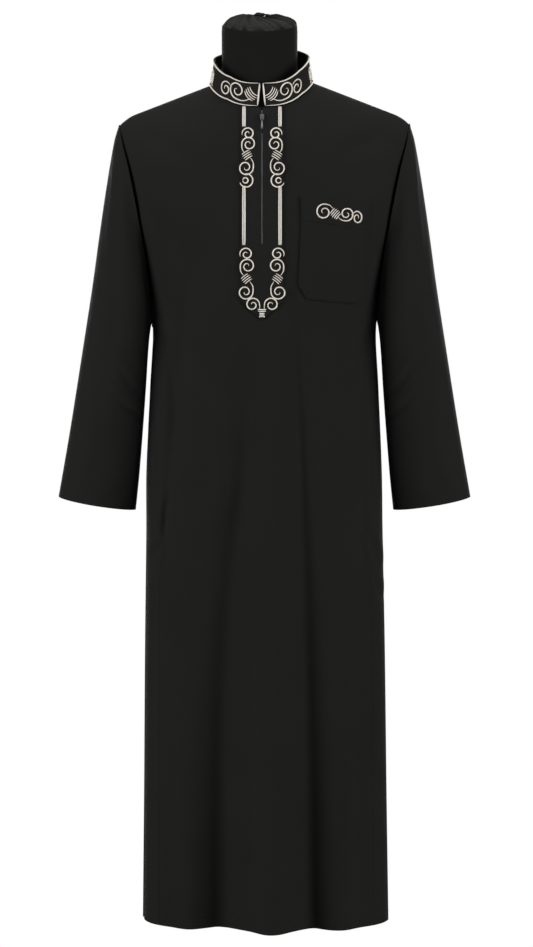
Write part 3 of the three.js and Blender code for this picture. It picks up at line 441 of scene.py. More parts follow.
def ridge_z(x, back):
    """The height of the shoulder line at a place across."""
    out = np.abs(x - SHOULDER_CENTRE)
    drop = SHOULDER_DROP * np.maximum(out - SHOULDER_DROP_X, 0) ** 2
    plain = SHOULDER_NECK_Z - SHOULDER_SLOPE * (np.maximum(out, 60) - SHOULDER_NECK_X) - drop
    in_neck = np.clip(1 - ((x - NECK_CENTRE) / BACK_NECK_REACH) ** 2, 0, 1)
    return plain + np.where(back, BACK_NECK_RISE * in_neck ** 2, 0)


def plain_depth(x, z, back):
    """The depth of the section without its folds."""
    back = np.asarray(back)
    depth = np.where(back, along(BODY, z, "back"), along(BODY, z, "front"))
    across = np.abs(x - along(BODY, z, "centre")) / along(BODY, z, "half_width")
    power = np.where(back, BACK_DOME_POWER, FRONT_DOME_POWER)
    rise = np.clip((z - DOME_Z) / (ridge_z(x, back) - DOME_Z), 0, 1)
    share = np.maximum(0, (1 - rise ** power) * (1 - across ** SECTION_POWER))
    return depth * share ** (1 / SECTION_POWER)


def skin_y(x, z, back):
    back = np.asarray(back)
    folds = np.where(back, fold_rise(BACK_FOLDS, x, z), fold_rise(FRONT_FOLDS, x, z))
    return np.where(back, 1, -1) * np.maximum(plain_depth(x, z, back) + folds, SEAM_GAP / 2)


def skin_value(points):
    """Zero on the cloth's outer face, positive outside it."""
    x, y, z = points[..., 0], points[..., 1], points[..., 2]
    back = y > 0
    depth = np.where(back, along(BODY, z, "back"), along(BODY, z, "front"))
    folded = np.where(back, y - fold_rise(BACK_FOLDS, x, z), y + fold_rise(FRONT_FOLDS, x, z))
    across = np.abs(x - along(BODY, z, "centre")) / along(BODY, z, "half_width")
    power = np.where(back, BACK_DOME_POWER, FRONT_DOME_POWER)
    rise = np.clip((z - DOME_Z) / (ridge_z(x, back) - DOME_Z), 0, 1)
    wide = 1 - across ** SECTION_POWER
    return np.abs(folded / depth) ** SECTION_POWER - (1 - rise ** power) * wide


def skin_normals(points):
    step = 0.6
    slopes = [
        skin_value(points + step * axis) - skin_value(points - step * axis) for axis in np.eye(3)
    ]
    return unit(np.stack(slopes, axis=-1))


def skin_height(x, y):
    """The skin's height over a place in plan, near the neck."""
    back = y > 0
    wide = 1 - np.abs(x / BODY["half_width"][-1]) ** SECTION_POWER
    depth = np.where(back, BODY["back"][-1], BODY["front"][-1])
    power = np.where(back, BACK_DOME_POWER, FRONT_DOME_POWER)
    rise = np.maximum(0, 1 - np.abs(y / depth) ** SECTION_POWER / wide) ** (1 / power)
    return mix(DOME_Z, ridge_z(x, back), rise)


def neck_points(angle, side):
    """Points of the neck edge: angle 0 is centre front, pi is centre back."""
    angle = np.asarray(angle, dtype=float)
    across, ahead = np.abs(np.sin(angle)), np.cos(angle)
    power = np.where(ahead < 0, BACK_NECK_POWER, FRONT_NECK_POWER)
    deep = np.maximum(0, 1 - across ** power) ** (1 / power)
    x = NECK_CENTRE + side * NECK_HALF_WIDTH * np.sin(angle)
    y = -np.sign(ahead) * NECK_HALF_DEPTH * np.where(deep < 1e-6, 0, deep)
    return np.stack([x, y, skin_height(x, y)], axis=-1)


def line_rise(x, z, line, width, rise):
    """A soft trough or ridge along a line in the front view, thinning out at its ends, with a
    low swell beside it as cloth has."""
    points = np.array(line, dtype=float)
    lengths = np.linalg.norm(np.diff(points, axis=0), axis=1)
    starts = np.concatenate([[0], np.cumsum(lengths)])
    nearest = np.full(x.shape, 1e9)
    place = np.zeros(x.shape)
    for (x0, z0), (x1, z1), start, length in zip(points, points[1:], starts, lengths):
        ux, uz = (x1 - x0) / length, (z1 - z0) / length
        t = np.clip((x - x0) * ux + (z - z0) * uz, 0, length)
        dx, dz = x - x0 - t * ux, z - z0 - t * uz
        signed = np.sign(dx * uz - dz * ux) * np.hypot(dx, dz)
        closer = np.abs(signed) < np.abs(nearest)
        nearest = np.where(closer, signed, nearest)
        place = np.where(closer, (start + t) / starts[-1], place)
    taper = smooth(place / 0.3) * smooth((1 - place) / 0.3)
    valley = np.exp(-(nearest / width) ** 2)
    swell = 0.45 * np.exp(-((np.abs(nearest) - 1.9 * width) / (1.1 * width)) ** 2)
    return rise * taper * (valley - swell)


def crease_rise(creases, x, z):
    total = np.zeros(x.shape)
    for _, line, width, rise in creases:
        total += line_rise(x, z, line, width, rise)
    return total * sizes().crease_depth


def creased(points):
    """Panel points pushed out or in along their normals by the fine creases."""
    normals = skin_normals(points)
    x, y, z = points[..., 0], points[..., 1], points[..., 2]
    front = crease_rise(FRONT_CREASES, x, z) * smooth(-y / 30)
    back = crease_rise(BACK_CREASES, x, z) * smooth(y / 30)
    return points + normals * (front + back)[..., None]


def on_front(x, z, height=0.0):
    """Points at a height over the front's face."""
    x, z = np.broadcast_arrays(np.asarray(x, dtype=float), np.asarray(z, dtype=float))
    points = np.stack([x, skin_y(x, z, False), z], axis=-1)
    return creased(points) + skin_normals(points) * np.asarray(height)[..., None]


# --- Front and back --------------------------------------------------------------

def low_rows(heights, side, back, inner_x, columns):
    """Rows of half a panel below the underarm, from the centre to the side seam."""
    z = heights[:, None]
    share = np.linspace(0, 1, columns + 1)[None, :]
    half_width, centre = along(BODY, z, "half_width"), along(BODY, z, "centre")
    seam, parting = np.radians(along(BODY, z, "seam")), SEAM_GAP / 200
    angle = mix(math.pi, seam + parting, share) if back else mix(0, seam - parting, share)
    x = centre + side * half_width * np.sin(angle) + (inner_x - centre) * (1 - share)
    z = np.broadcast_to(z, x.shape)
    points = np.stack([x, skin_y(x, z, angle > math.pi / 2), z], axis=-1)
    if back:
        return points
    low, high = POCKET_MOUTH["low"], POCKET_MOUTH["high"]
    gape = POCKET_MOUTH["gape"] * np.sin(math.pi * np.clip((z - low) / (high - low), 0, 1))
    edge = smooth((share - 0.9) / 0.1)
    return points + skin_normals(points) * (gape * edge)[..., None]


def top_edge(side, back, inner_x, columns, neck_columns):
    """The panel's top edge: along the neck, then along the shoulder."""
    offset = math.asin(abs(inner_x - NECK_CENTRE) / NECK_HALF_WIDTH)
    start = math.pi if back else offset
    neck = neck_points(np.linspace(start, math.pi / 2, neck_columns + 1), side)
    neck_side = NECK_CENTRE + side * NECK_HALF_WIDTH
    x = np.linspace(neck_side, side * SHOULDER_POINT_X, columns - neck_columns + 1)[1:]
    shoulder = np.stack([x, np.zeros_like(x), ridge_z(x, back)], axis=-1)
    return np.concatenate([neck, shoulder])


def armhole_edge(share, side):
    z = mix(UNDERARM_Z, float(ridge_z(np.float64(side * SHOULDER_POINT_X), False)), share)
    return np.stack([side * along(ARMHOLE, z, "x"), z], axis=-1)


def high_rows(side, back, inner_x, lowest, steps, neck_columns):
    """Rows of half a panel above the underarm: a patch between its four edges."""
    columns = len(lowest) - 1
    top = top_edge(side, back, inner_x, columns, neck_columns)
    v = ((1 - np.cos(np.pi * np.arange(1, steps + 1) / steps)) / 2)[:, None, None]
    u = np.linspace(0, 1, columns + 1)[None, :, None]
    low_line, top_line = lowest[None, :, ::2], top[None, :, ::2]
    edge = armhole_edge(v[:, 0, 0], side)[:, None, :]
    middle = mix(low_line[:, :1], top_line[:, :1], v)
    low = mix(low_line[:, :1], armhole_edge(np.zeros(1), side)[:, None, :], u)
    high = mix(top_line[:, :1], top_line[:, -1:], u)
    plan = mix(low_line, top_line, v) + mix(middle, edge, u) - mix(low, high, v)
    x, z = plan[..., 0], plan[..., 1]
    points = np.stack([x, skin_y(x, z, back), z], axis=-1)
    points[-1] = top
    points[-1, neck_columns:, 1] = (1 if back else -1) * SEAM_GAP / 2
    return points


def half_panel(side, back, inner_x, columns, neck_columns, low_steps, high_steps):
    heights = np.linspace(BODY["z"][0], UNDERARM_Z, low_steps + 1)
    low = low_rows(heights, side, back, inner_x, columns)
    high = high_rows(side, back, inner_x, low[-1], high_steps, neck_columns)
    return np.concatenate([low, high])


PANEL_STEPS = {"columns": 62, "neck_columns": 22, "low_steps": 190, "high_steps": 72}


def panel_points(back):
    slit = 0 if back else FRONT_SLIT_HALF
    right = half_panel(-1, back, PLACKET_CENTRE - slit, **PANEL_STEPS)
    left = half_panel(1, back, PLACKET_CENTRE + slit, **PANEL_STEPS)
    if back:  # seen from behind, the wearer's left comes first
        return np.concatenate([left[:, ::-1], right[:, 1:]], axis=1)
    return np.concatenate([right[:, ::-1], left], axis=1)


# --- Sleeves ----------------------------------------------------------------------

ARMHOLE_STEPS = 36
SLEEVE_RINGS = 120

# Creases of a sleeve: places round the tube (0 outer edge, 0.25 front, 0.5 inner edge, 0.75 back)
# and along it (0 shoulder, 1 cuff), half width and rise in millimetres.
SLEEVE_CREASES = [
    ("inner fold", [(0.42, -0.3), (0.4, 0.1), (0.41, 0.5), (0.42, 1.3)], 22, -5.0),
    ("cap drag", [(0.08, 0.03), (0.13, 0.16), (0.15, 0.34)], 11, -2.2),
    ("front long", [(0.3, 0.2), (0.27, 0.45), (0.24, 0.8)], 12, -2.4),
    ("elbow front, high", [(0.4, 0.42), (0.32, 0.47), (0.22, 0.5)], 10, -2.2),
    ("elbow front, low", [(0.42, 0.53), (0.34, 0.56), (0.26, 0.6)], 9, -2.0),
    ("forearm", [(0.16, 0.62), (0.19, 0.8), (0.18, 0.97)], 11, -2.0),
    ("back long", [(0.72, 0.15), (0.75, 0.5), (0.74, 0.9)], 12, -2.6),
    ("back elbow", [(0.6, 0.44), (0.68, 0.49), (0.78, 0.5)], 10, -2.2),
    ("back cap", [(0.92, 0.04), (0.88, 0.18), (0.86, 0.32)], 11, -2.0),
]
SLEEVE_FOLD = {"shoulder": 0.9, "cuff": 0.6}
SLEEVE_ROUND = 380.0
SLEEVE_LONG = 620.0


def armhole_ring(front, back, side):
    """The sleeve's first ring, just outside the edges of the front and back."""
    front_edge, back_edge = front[-ARMHOLE_STEPS - 1:], back[-ARMHOLE_STEPS - 1:]
    top = (front_edge[-1] + back_edge[-1]) / 2
    low = (front_edge[0] + back_edge[0]) / 2
    ring = np.concatenate([[top], front_edge[-2:0:-1], [low], back_edge[1:-1]])
    ring[:, 0] += side * ARMHOLE_GAP
    return ring


def sleeve_points(side):
    steps = {"columns": 8, "neck_columns": 4, "low_steps": 2, "high_steps": ARMHOLE_STEPS}
    front = half_panel(side, False, PLACKET_CENTRE, **steps)[:, -1]
    back = half_panel(side, True, PLACKET_CENTRE, **steps)[:, -1]
    share = (np.arange(1, SLEEVE_RINGS + 1) / SLEEVE_RINGS)[:, None]
    outer_z = mix(SLEEVE_OUTER["z"][-1], SLEEVE_OUTER["z"][0], share)
    inner_z = mix(SLEEVE_INNER["z"][-1], SLEEVE_INNER["z"][0], share)
    outer_x, inner_x = along(SLEEVE_OUTER, outer_z, "x"), along(SLEEVE_INNER, inner_z, "x")
    angle = (np.pi * np.arange(2 * ARMHOLE_STEPS) / ARMHOLE_STEPS)[None, :]
    x = side * ((outer_x + inner_x) / 2 + (outer_x - inner_x) / 2 * np.cos(angle))
    z = (outer_z + inner_z) / 2 + (outer_z - inner_z) / 2 * np.cos(angle)
    inward = smooth(-np.cos(angle)) * mix(SLEEVE_FOLD["shoulder"], SLEEVE_FOLD["cuff"], share)
    deep = np.abs(np.sin(angle)) ** (1 + inward)
    deep[deep < 1e-9] = 0
    y = -along(SLEEVE_DEPTH, share, "half") * np.sign(np.sin(angle)) * deep
    rings = np.stack([x, y, z], axis=-1)
    start = armhole_ring(front, back, side)
    rings = np.concatenate([start[None], rings])
    lengthwise = np.gradient(rings, axis=0)
    round_it = np.roll(rings, -1, axis=1) - np.roll(rings, 1, axis=1)
    normals = side * unit(np.cross(lengthwise, round_it))
    turn = np.broadcast_to(np.arange(2 * ARMHOLE_STEPS) / (2 * ARMHOLE_STEPS), rings.shape[:2])
    down = np.broadcast_to(np.arange(SLEEVE_RINGS + 1)[:, None] / SLEEVE_RINGS, rings.shape[:2])
    rise = np.zeros(rings.shape[:2])
    for _, line, width, height in SLEEVE_CREASES:
        scaled = [(u * SLEEVE_ROUND, s * SLEEVE_LONG) for u, s in line]
        rise += line_rise(turn * SLEEVE_ROUND, down * SLEEVE_LONG, scaled, width, height)
    rise *= smooth(down / 0.05) * sizes().crease_depth
    return rings + normals * rise[..., None]


# --- Meshes from bpy.ops primitives --------------------------------------------------

def to_frame(points):
    """The cutter's millimetres as the frame's metres."""
    placed = np.array(points, dtype=float)
    placed[..., 2] -= FLOOR_Z
    return placed * MM


def start_clean():
    if bpy.context.mode != "OBJECT":
        bpy.ops.object.mode_set(mode="OBJECT")
    bpy.ops.object.select_all(action="DESELECT")


def only(piece):
    start_clean()
    piece.select_set(True)
    bpy.context.view_layer.objects.active = piece


def apply_modifier(piece, kind, **settings):
    only(piece)
    modifier = piece.modifiers.new(kind.title(), kind)
    for key, value in settings.items():
        setattr(modifier, key, value)
    bpy.ops.object.modifier_apply(modifier=modifier.name)


def surface_grid(name, points, uv_size=(1.0, 1.0), flip=False, closed=False, dropped=None):
    """A grid primitive laid on a surface given as rows of points. closed joins the last column to
    the first, dropped marks the cells that are left out, and the UV map spans uv_size."""
    if closed:
        points = np.concatenate([points, points[:, :1]], axis=1)
    rows, columns = points.shape[:2]
    start_clean()
    bpy.ops.mesh.primitive_grid_add(
        x_subdivisions=columns - 1, y_subdivisions=rows - 1, size=1, calc_uvs=True)
    piece = bpy.context.active_object
    piece.name = piece.data.name = name
    mesh = piece.data
    if dropped is not None:
        centres = np.empty(3 * len(mesh.polygons))
        mesh.polygons.foreach_get("center", centres)
        centres = centres.reshape(-1, 3) + 0.5
        cell = (centres[:, 0] * (columns - 1)).astype(int)
        row = (centres[:, 1] * (rows - 1)).astype(int)
        left_out = dropped[row, cell]
    flat = np.empty(3 * len(mesh.vertices))
    mesh.vertices.foreach_get("co", flat)
    flat = flat.reshape(-1, 3)
    column = np.rint((flat[:, 0] + 0.5) * (columns - 1)).astype(int)
    row = np.rint((flat[:, 1] + 0.5) * (rows - 1)).astype(int)
    mesh.vertices.foreach_set("co", to_frame(points)[row, column].ravel())
    uv = np.empty(2 * len(mesh.uv_layers[0].data))
    mesh.uv_layers[0].data.foreach_get("uv", uv)
    mesh.uv_layers[0].data.foreach_set("uv", (uv.reshape(-1, 2) * np.array(uv_size)).ravel())
    bpy.ops.object.mode_set(mode="EDIT")
    bpy.ops.mesh.select_mode(type="FACE")
    if dropped is not None:
        bpy.ops.mesh.select_all(action="DESELECT")
        bpy.ops.object.mode_set(mode="OBJECT")
        mesh.polygons.foreach_set("select", left_out)
        bpy.ops.object.mode_set(mode="EDIT")
        bpy.ops.mesh.delete(type="FACE")
    bpy.ops.mesh.select_all(action="SELECT")
    if closed:
        bpy.ops.mesh.remove_doubles(threshold=1e-6)
    if flip:
        bpy.ops.mesh.flip_normals()
    bpy.ops.object.mode_set(mode="OBJECT")
    return piece


def cloth_grid(name, points, thickness=CLOTH, **settings):
    """A surface grid thickened inwards to a wall of cloth."""
    piece = surface_grid(name, points, **settings)
    apply_modifier(piece, "SOLIDIFY", thickness=thickness * MM, offset=-1)
    only(piece)
    bpy.ops.object.shade_smooth_by_angle(angle=math.radians(50))
    return piece


def tube(path, up, radius, sides=6, squash=1.0):
    """Rings of a tube round a path. up is the direction away from the cloth at each point."""
    path = np.asarray(path, dtype=float)
    tangent = unit(np.gradient(path, axis=0))
    across = unit(np.cross(tangent, up))
    lift = np.cross(across, tangent)
    radius = np.broadcast_to(radius, len(path))[:, None, None]
    angle = 2 * np.pi * np.arange(sides) / sides
    ring = np.cos(angle)[None, :, None] * lift[:, None] * squash
    ring = ring + np.sin(angle)[None, :, None] * across[:, None]
    return path[:, None] + radius * ring


def tapered(count):
    """Radius shares of a thread that closes to a point at both ends."""
    t = np.linspace(-1, 1, count)
    return np.sqrt(np.maximum(0, 1 - np.abs(t) ** 4))


def strands(name, tubes, uv_size=(THREAD_ROUND, 1.0)):
    """Many closed tubes as one mesh: rings in a row, with the cells between two tubes left out."""
    rings = np.concatenate(tubes)
    dropped = np.zeros((len(rings) - 1, tubes[0].shape[1]), dtype=bool)
    ends = np.cumsum([len(rows) for rows in tubes])[:-1] - 1
    dropped[ends] = True
    piece = surface_grid(name, rings, uv_size=uv_size, closed=True, dropped=dropped)
    only(piece)
    bpy.ops.object.mode_set(mode="EDIT")
    bpy.ops.mesh.select_all(action="SELECT")
    bpy.ops.mesh.normals_make_consistent(inside=False)
    bpy.ops.object.mode_set(mode="OBJECT")
    bpy.ops.object.shade_smooth()
    return piece


def evenly(points, step):
    """A line's points respaced at an even step."""
    points = np.asarray(points, dtype=float)
    lengths = np.linalg.norm(np.diff(points, axis=0), axis=1)
    place = np.concatenate([[0], np.cumsum(lengths)])
    count = max(2, int(round(place[-1] / step)) + 1)
    at = np.linspace(0, place[-1], count)
    return np.stack([np.interp(at, place, points[:, i]) for i in range(points.shape[1])], axis=-1)


def twisted_cord(path, up, radius=None, pitch=4.6):
    """Two strands wound round each other along a path: a list of two tubes."""
    radius = radius or sizes().cord_radius / MM
    path = np.asarray(path, dtype=float)
    lengths = np.linalg.norm(np.diff(path, axis=0), axis=1)
    place = np.concatenate([[0], np.cumsum(lengths)])
    tangent = unit(np.gradient(path, axis=0))
    across = unit(np.cross(tangent, up))
    lift = np.cross(across, tangent)
    narrow = tapered(len(path))
    both = []
    for phase in (0, math.pi):
        angle = (2 * np.pi * place / pitch + phase)[:, None]
        offset = 0.5 * radius * (np.cos(angle) * lift + np.sin(angle) * across)
        both.append(tube(path + offset * narrow[:, None], up, 0.58 * radius * narrow))
    return both


def stitches(path, up, radius=0.32, sides=4):
    """Running stitches along a line, each dipping into the cloth at both ends."""
    length = sizes().stitch_length / MM
    both = evenly(np.concatenate([path, up], axis=1), (length + STITCH_GAP) / 4)
    tubes = []
    for start in range(0, len(both) - 4, 4):
        rows = both[start:start + 4]
        line, away = rows[:, :3], unit(rows[:, 3:])
        sunk = np.array([-0.35, 0.12, 0.12, -0.35])[:, None]
        tubes.append(tube(line + away * sunk, away, radius * np.array([0, 1, 1, 0]), sides))
    return tubes


def finish_piece(piece, material, nodes=(), body=ROBE):
    piece.data.materials.clear()
    piece.data.materials.append(material)
    if nodes:
        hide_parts(*nodes)
    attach(piece, body)


# --- Materials --------------------------------------------------------------------------

def add_node(tree, kind, settings=None, links=None):
    """A node with its settings, its input values and the sockets that feed it."""
    node = tree.nodes.new(kind)
    for key, value in (settings or {}).items():
        if isinstance(key, int) or key in node.inputs:
            node.inputs[key].default_value = value
        else:
            setattr(node, key, value)
    for key, socket in (links or {}).items():
        tree.links.new(socket, node.inputs[key])
    return node


def new_material(name, **surface):
    material = bpy.data.materials.new(name)
    material.use_nodes = True
    tree = material.node_tree
    tree.nodes.clear()
    shader = add_node(tree, "ShaderNodeBsdfPrincipled", surface)
    add_node(tree, "ShaderNodeOutputMaterial", links={"Surface": shader.outputs[0]})
    return material, tree, shader


def colour_mix(tree, factor, low, high):
    ramp = add_node(tree, "ShaderNodeValToRGB", links={"Fac": factor})
    ramp.color_ramp.elements[0].color = low
    ramp.color_ramp.elements[1].color = high
    return ramp.outputs["Color"]


def matte_suiting():
    """Black worsted twill: dull, with a faint dry sheen at grazing angles and slow uneven dye."""
    material, tree, shader = new_material("matte_black_twill", **{
        "Roughness": 0.85, "Specular IOR Level": 0.16,
        "Sheen Weight": 0.05, "Sheen Roughness": 0.5, "Sheen Tint": colour("#8d8c88")})
    place = add_node(tree, "ShaderNodeTexCoord")
    cloud = add_node(tree, "ShaderNodeTexNoise", {"Scale": 9.0, "Detail": 3.0, "Roughness": 0.55},
                     {"Vector": place.outputs["Object"]})
    tree.links.new(colour_mix(tree, cloud.outputs["Fac"], finishes().cloth_deep,
                              finishes().cloth_pale),
                   shader.inputs["Base Color"])
    # The twill line of 0.7 mm is drawn at 1.4 mm so that it shows.
    twill = add_node(tree, "ShaderNodeTexWave", {
        "wave_type": "BANDS", "bands_direction": "DIAGONAL", "wave_profile": "SIN",
        "Scale": 450.0, "Distortion": 0.6, "Detail": 1.0, "Detail Scale": 3.0},
        {"Vector": place.outputs["UV"]})
    nap = add_node(tree, "ShaderNodeTexNoise", {"Scale": 900.0, "Detail": 2.0},
                   {"Vector": place.outputs["Object"]})
    both = add_node(tree, "ShaderNodeMath", {"operation": "ADD"},
                    {0: twill.outputs["Fac"], 1: nap.outputs["Fac"]})
    bump = add_node(tree, "ShaderNodeBump", {"Strength": 0.35, "Distance": 0.00012},
                    {"Height": both.outputs[0]})
    tree.links.new(bump.outputs[0], shader.inputs["Normal"])
    return material


def form_jersey():
    """Black cotton jersey pulled over the neck: finer and a little browner than the suiting, with
    painted light that makes it paler where it faces up.
    """
    material, tree, shader = new_material("black_cotton_jersey", **{
        "Roughness": 0.9, "Specular IOR Level": 0.14, "Sheen Weight": 0.4,
        "Sheen Roughness": 0.35, "Sheen Tint": colour("#75746f")})
    place = add_node(tree, "ShaderNodeTexCoord")
    # Painted light: the jersey is made paler where it faces up, on the domed top, as a light from
    # above would make it; the noise adds a random cloudy tone.
    facing = add_node(tree, "ShaderNodeSeparateXYZ", links={"Vector": place.outputs["Normal"]})
    painted_top_light = add_node(tree, "ShaderNodeMapRange", {"From Min": 0.15, "From Max": 0.85},
                     {"Value": facing.outputs["Z"]})
    cloud = add_node(tree, "ShaderNodeTexNoise", {"Scale": 22.0, "Detail": 3.0},
                     {"Vector": place.outputs["Object"]})
    both = add_node(tree, "ShaderNodeMath", {"operation": "MULTIPLY_ADD", 1: 0.2},
                    {0: cloud.outputs["Fac"], 2: painted_top_light.outputs[0]})
    tree.links.new(colour_mix(tree, both.outputs[0], finishes().jersey_deep,
                              finishes().jersey_pale_and_top_light),
                   shader.inputs["Base Color"])
    rib = add_node(tree, "ShaderNodeTexNoise", {"Scale": 700.0, "Detail": 2.0},
                   {"Vector": place.outputs["Object"]})
    bump = add_node(tree, "ShaderNodeBump", {"Strength": 0.3, "Distance": 0.00012},
                    {"Height": rib.outputs["Fac"]})
    tree.links.new(bump.outputs[0], shader.inputs["Normal"])
    return material


def cord_rayon():
    """Twisted rayon cord: silky cream-white strands, with painted shade in tan where they turn
    under.
    """
    material, tree, shader = new_material("cream_rayon_cord", **{
        "Roughness": 0.5, "Specular IOR Level": 0.45,
        "Sheen Weight": 0.15, "Sheen Roughness": 0.4})
    place = add_node(tree, "ShaderNodeTexCoord")
    # The map's first coordinate runs once round a thread, from its top.
    split = add_node(tree, "ShaderNodeSeparateXYZ", links={"Vector": place.outputs["UV"]})
    turn = add_node(tree, "ShaderNodeMath",
                    {"operation": "MULTIPLY", 1: 2 * math.pi / THREAD_ROUND},
                    {0: split.outputs["X"]})
    top = add_node(tree, "ShaderNodeMath", {"operation": "COSINE"}, {0: turn.outputs[0]})
    cloud = add_node(tree, "ShaderNodeTexNoise", {"Scale": 300.0, "Detail": 2.0},
                     {"Vector": place.outputs["Object"]})
    both = add_node(tree, "ShaderNodeMath", {"operation": "MULTIPLY_ADD", 1: 0.7},
                    {0: cloud.outputs["Fac"], 2: top.outputs[0]})
    # Painted shade: each strand turns tan away from its top, towards the cloth, where shade falls;
    # the noise adds random tone.
    under = add_node(tree, "ShaderNodeMapRange", {"From Min": 1.1, "From Max": -0.3},
                     {"Value": both.outputs[0]})
    tree.links.new(colour_mix(tree, under.outputs[0], finishes().cord_top,
                              finishes().cord_painted_shade),
                   shader.inputs["Base Color"])
    fibre = add_node(tree, "ShaderNodeTexNoise", {"Scale": 2600.0, "Detail": 1.0},
                     {"Vector": place.outputs["Object"]})
    bump = add_node(tree, "ShaderNodeBump", {"Strength": 0.4, "Distance": 0.00008},
                    {"Height": fibre.outputs["Fac"]})
    tree.links.new(bump.outputs[0], shader.inputs["Normal"])
    return material


def sewing_thread():
    """Spun polyester thread, black, a shade glossier than the twill it is sewn through."""
    material, _, _ = new_material("black_polyester_thread", **{
        "Base Color": finishes().thread, "Roughness": 0.5, "Specular IOR Level": 0.35})
    return material


def zip_tape_weave():
    """Woven polyester zip tape: flat black with a fine cross rib."""
    material, tree, shader = new_material("black_woven_tape", **{
        "Base Color": colour("#17171a"), "Roughness": 0.75, "Specular IOR Level": 0.3})
    place = add_node(tree, "ShaderNodeTexCoord")
    rib = add_node(tree, "ShaderNodeTexWave", {"bands_direction": "Z", "Scale": 300.0},
                   {"Vector": place.outputs["Object"]})
    bump = add_node(tree, "ShaderNodeBump", {"Strength": 0.3, "Distance": 0.0001},
                    {"Height": rib.outputs["Fac"]})
    tree.links.new(bump.outputs[0], shader.inputs["Normal"])
    return material


def worn_teeth():
    """Gunmetal-plated teeth, dulled by wear: a thin grey line between the tapes."""
    material, _, _ = new_material("gunmetal_zip_teeth", **{
        "Base Color": colour("#c4c5c7"), "Metallic": 0.35, "Roughness": 0.5})
    return material


def nickel():
    """Nickel-plated zinc, tumbled bright: small uneven wear in the gloss."""
    material, tree, shader = new_material("nickel_plated_zinc", **{
        "Base Color": finishes().metal, "Metallic": 1.0})
    place = add_node(tree, "ShaderNodeTexCoord")
    wear = add_node(tree, "ShaderNodeTexNoise", {"Scale": 420.0, "Detail": 4.0},
                    {"Vector": place.outputs["Object"]})
    gloss = add_node(tree, "ShaderNodeMapRange", {"To Min": 0.24, "To Max": 0.42},
                     {"Value": wear.outputs["Fac"]})
    tree.links.new(gloss.outputs[0], shader.inputs["Roughness"])
    return material


def form_shell():
    """Cotton jersey glued over the moulded shell: black, napped, almost without gloss."""
    material, tree, shader = new_material("black_covered_shell", **{
        "Roughness": 0.92, "Specular IOR Level": 0.1})
    place = add_node(tree, "ShaderNodeTexCoord")
    cloud = add_node(tree, "ShaderNodeTexNoise", {"Scale": 14.0, "Detail": 4.0},
                     {"Vector": place.outputs["Object"]})
    tree.links.new(colour_mix(tree, cloud.outputs["Fac"], colour("#121212"), colour("#191918")),
                   shader.inputs["Base Color"])
    return material


def stand_coat():
    """Powder-coated steel with a fine orange-peel."""
    material, tree, shader = new_material("black_powder_coat", **{
        "Base Color": colour("#232427"), "Roughness": 0.45, "Specular IOR Level": 0.5})
    place = add_node(tree, "ShaderNodeTexCoord")
    peel = add_node(tree, "ShaderNodeTexNoise", {"Scale": 600.0, "Detail": 2.0},
                    {"Vector": place.outputs["Object"]})
    bump = add_node(tree, "ShaderNodeBump", {"Strength": 0.25, "Distance": 0.0001},
                    {"Height": peel.outputs["Fac"]})
    tree.links.new(bump.outputs[0], shader.inputs["Normal"])
    return material


MATERIAL_MAKERS = {
    "suiting": matte_suiting, "braid": cord_rayon, "thread": sewing_thread,
    "zip_tape": zip_tape_weave, "zip_metal": nickel, "zip_teeth": worn_teeth,
    "form_cover": form_jersey,
    "form_shell": form_shell, "stand_steel": stand_coat,
}
MATERIALS = {}


def finish_of(name):
    """Each material is made once."""
    if name not in MATERIALS:
        MATERIALS[name] = MATERIAL_MAKERS[name]()
    return MATERIALS[name]


# --- Lines on the garment that sewing and cord follow -------------------------------------

def front_line(points, height):
    """A line in the front view laid on the front, with the directions away from the cloth."""
    flat = np.asarray(points, dtype=float)
    line = on_front(flat[:, 0], flat[:, 1], height)
    return line, skin_normals(line)


def neck_front_z(x):
    return neck_points(np.arcsin((x - NECK_CENTRE) / NECK_HALF_WIDTH), 1)[..., 2]


def collar_height(angle):
    """40 mm in front, and higher round the back."""
    behind = smooth((np.asarray(angle) - 1.3) / 0.9)
    return mix(COLLAR_HEIGHT["front"], COLLAR_HEIGHT["back"], behind)


def collar_points(side, out, up, height):
    """Points on the collar's outer face: out along it from the centre front, up from its seam in
    the front's height."""
    out, up = np.broadcast_arrays(np.asarray(out, dtype=float), np.asarray(up, dtype=float))
    angle = out / COLLAR_REACH
    level = up / COLLAR_HEIGHT["front"]
    up = level * collar_height(angle)
    base = neck_points(angle, side)
    x = base[..., 0] - side * level * COLLAR_LEAN_SIDE * np.sin(angle)
    y = base[..., 1] + level * COLLAR_LEAN_FRONT * np.cos(angle)
    away = unit(np.stack([
        side * np.sin(angle), -np.cos(angle) * NECK_HALF_DEPTH / NECK_HALF_WIDTH,
        np.full(x.shape, 0.15)], axis=-1))
    points = np.stack([x, y, base[..., 2] + up], axis=-1)
    return points + away * height, away


def curve_through(points, step=0.6):
    """A smooth curve through a few points, respaced."""
    points = np.asarray(points, dtype=float)
    padded = np.concatenate([2 * points[:1] - points[1:2], points, 2 * points[-1:] - points[-2:-1]])
    t = np.linspace(0, 1, 12, endpoint=False)[:, None]
    pieces = []
    for a, b, c, d in zip(padded, padded[1:], padded[2:], padded[3:]):
        pieces.append(0.5 * (2 * b + (c - a) * t + (2 * a - 5 * b + 4 * c - d) * t ** 2
                             + (3 * b - a - 3 * c + d) * t ** 3))
    return evenly(np.concatenate([*pieces, points[-1:]]), step)


def around(angle, radius):
    return np.stack([radius * np.cos(angle), radius * np.sin(angle)], axis=-1)


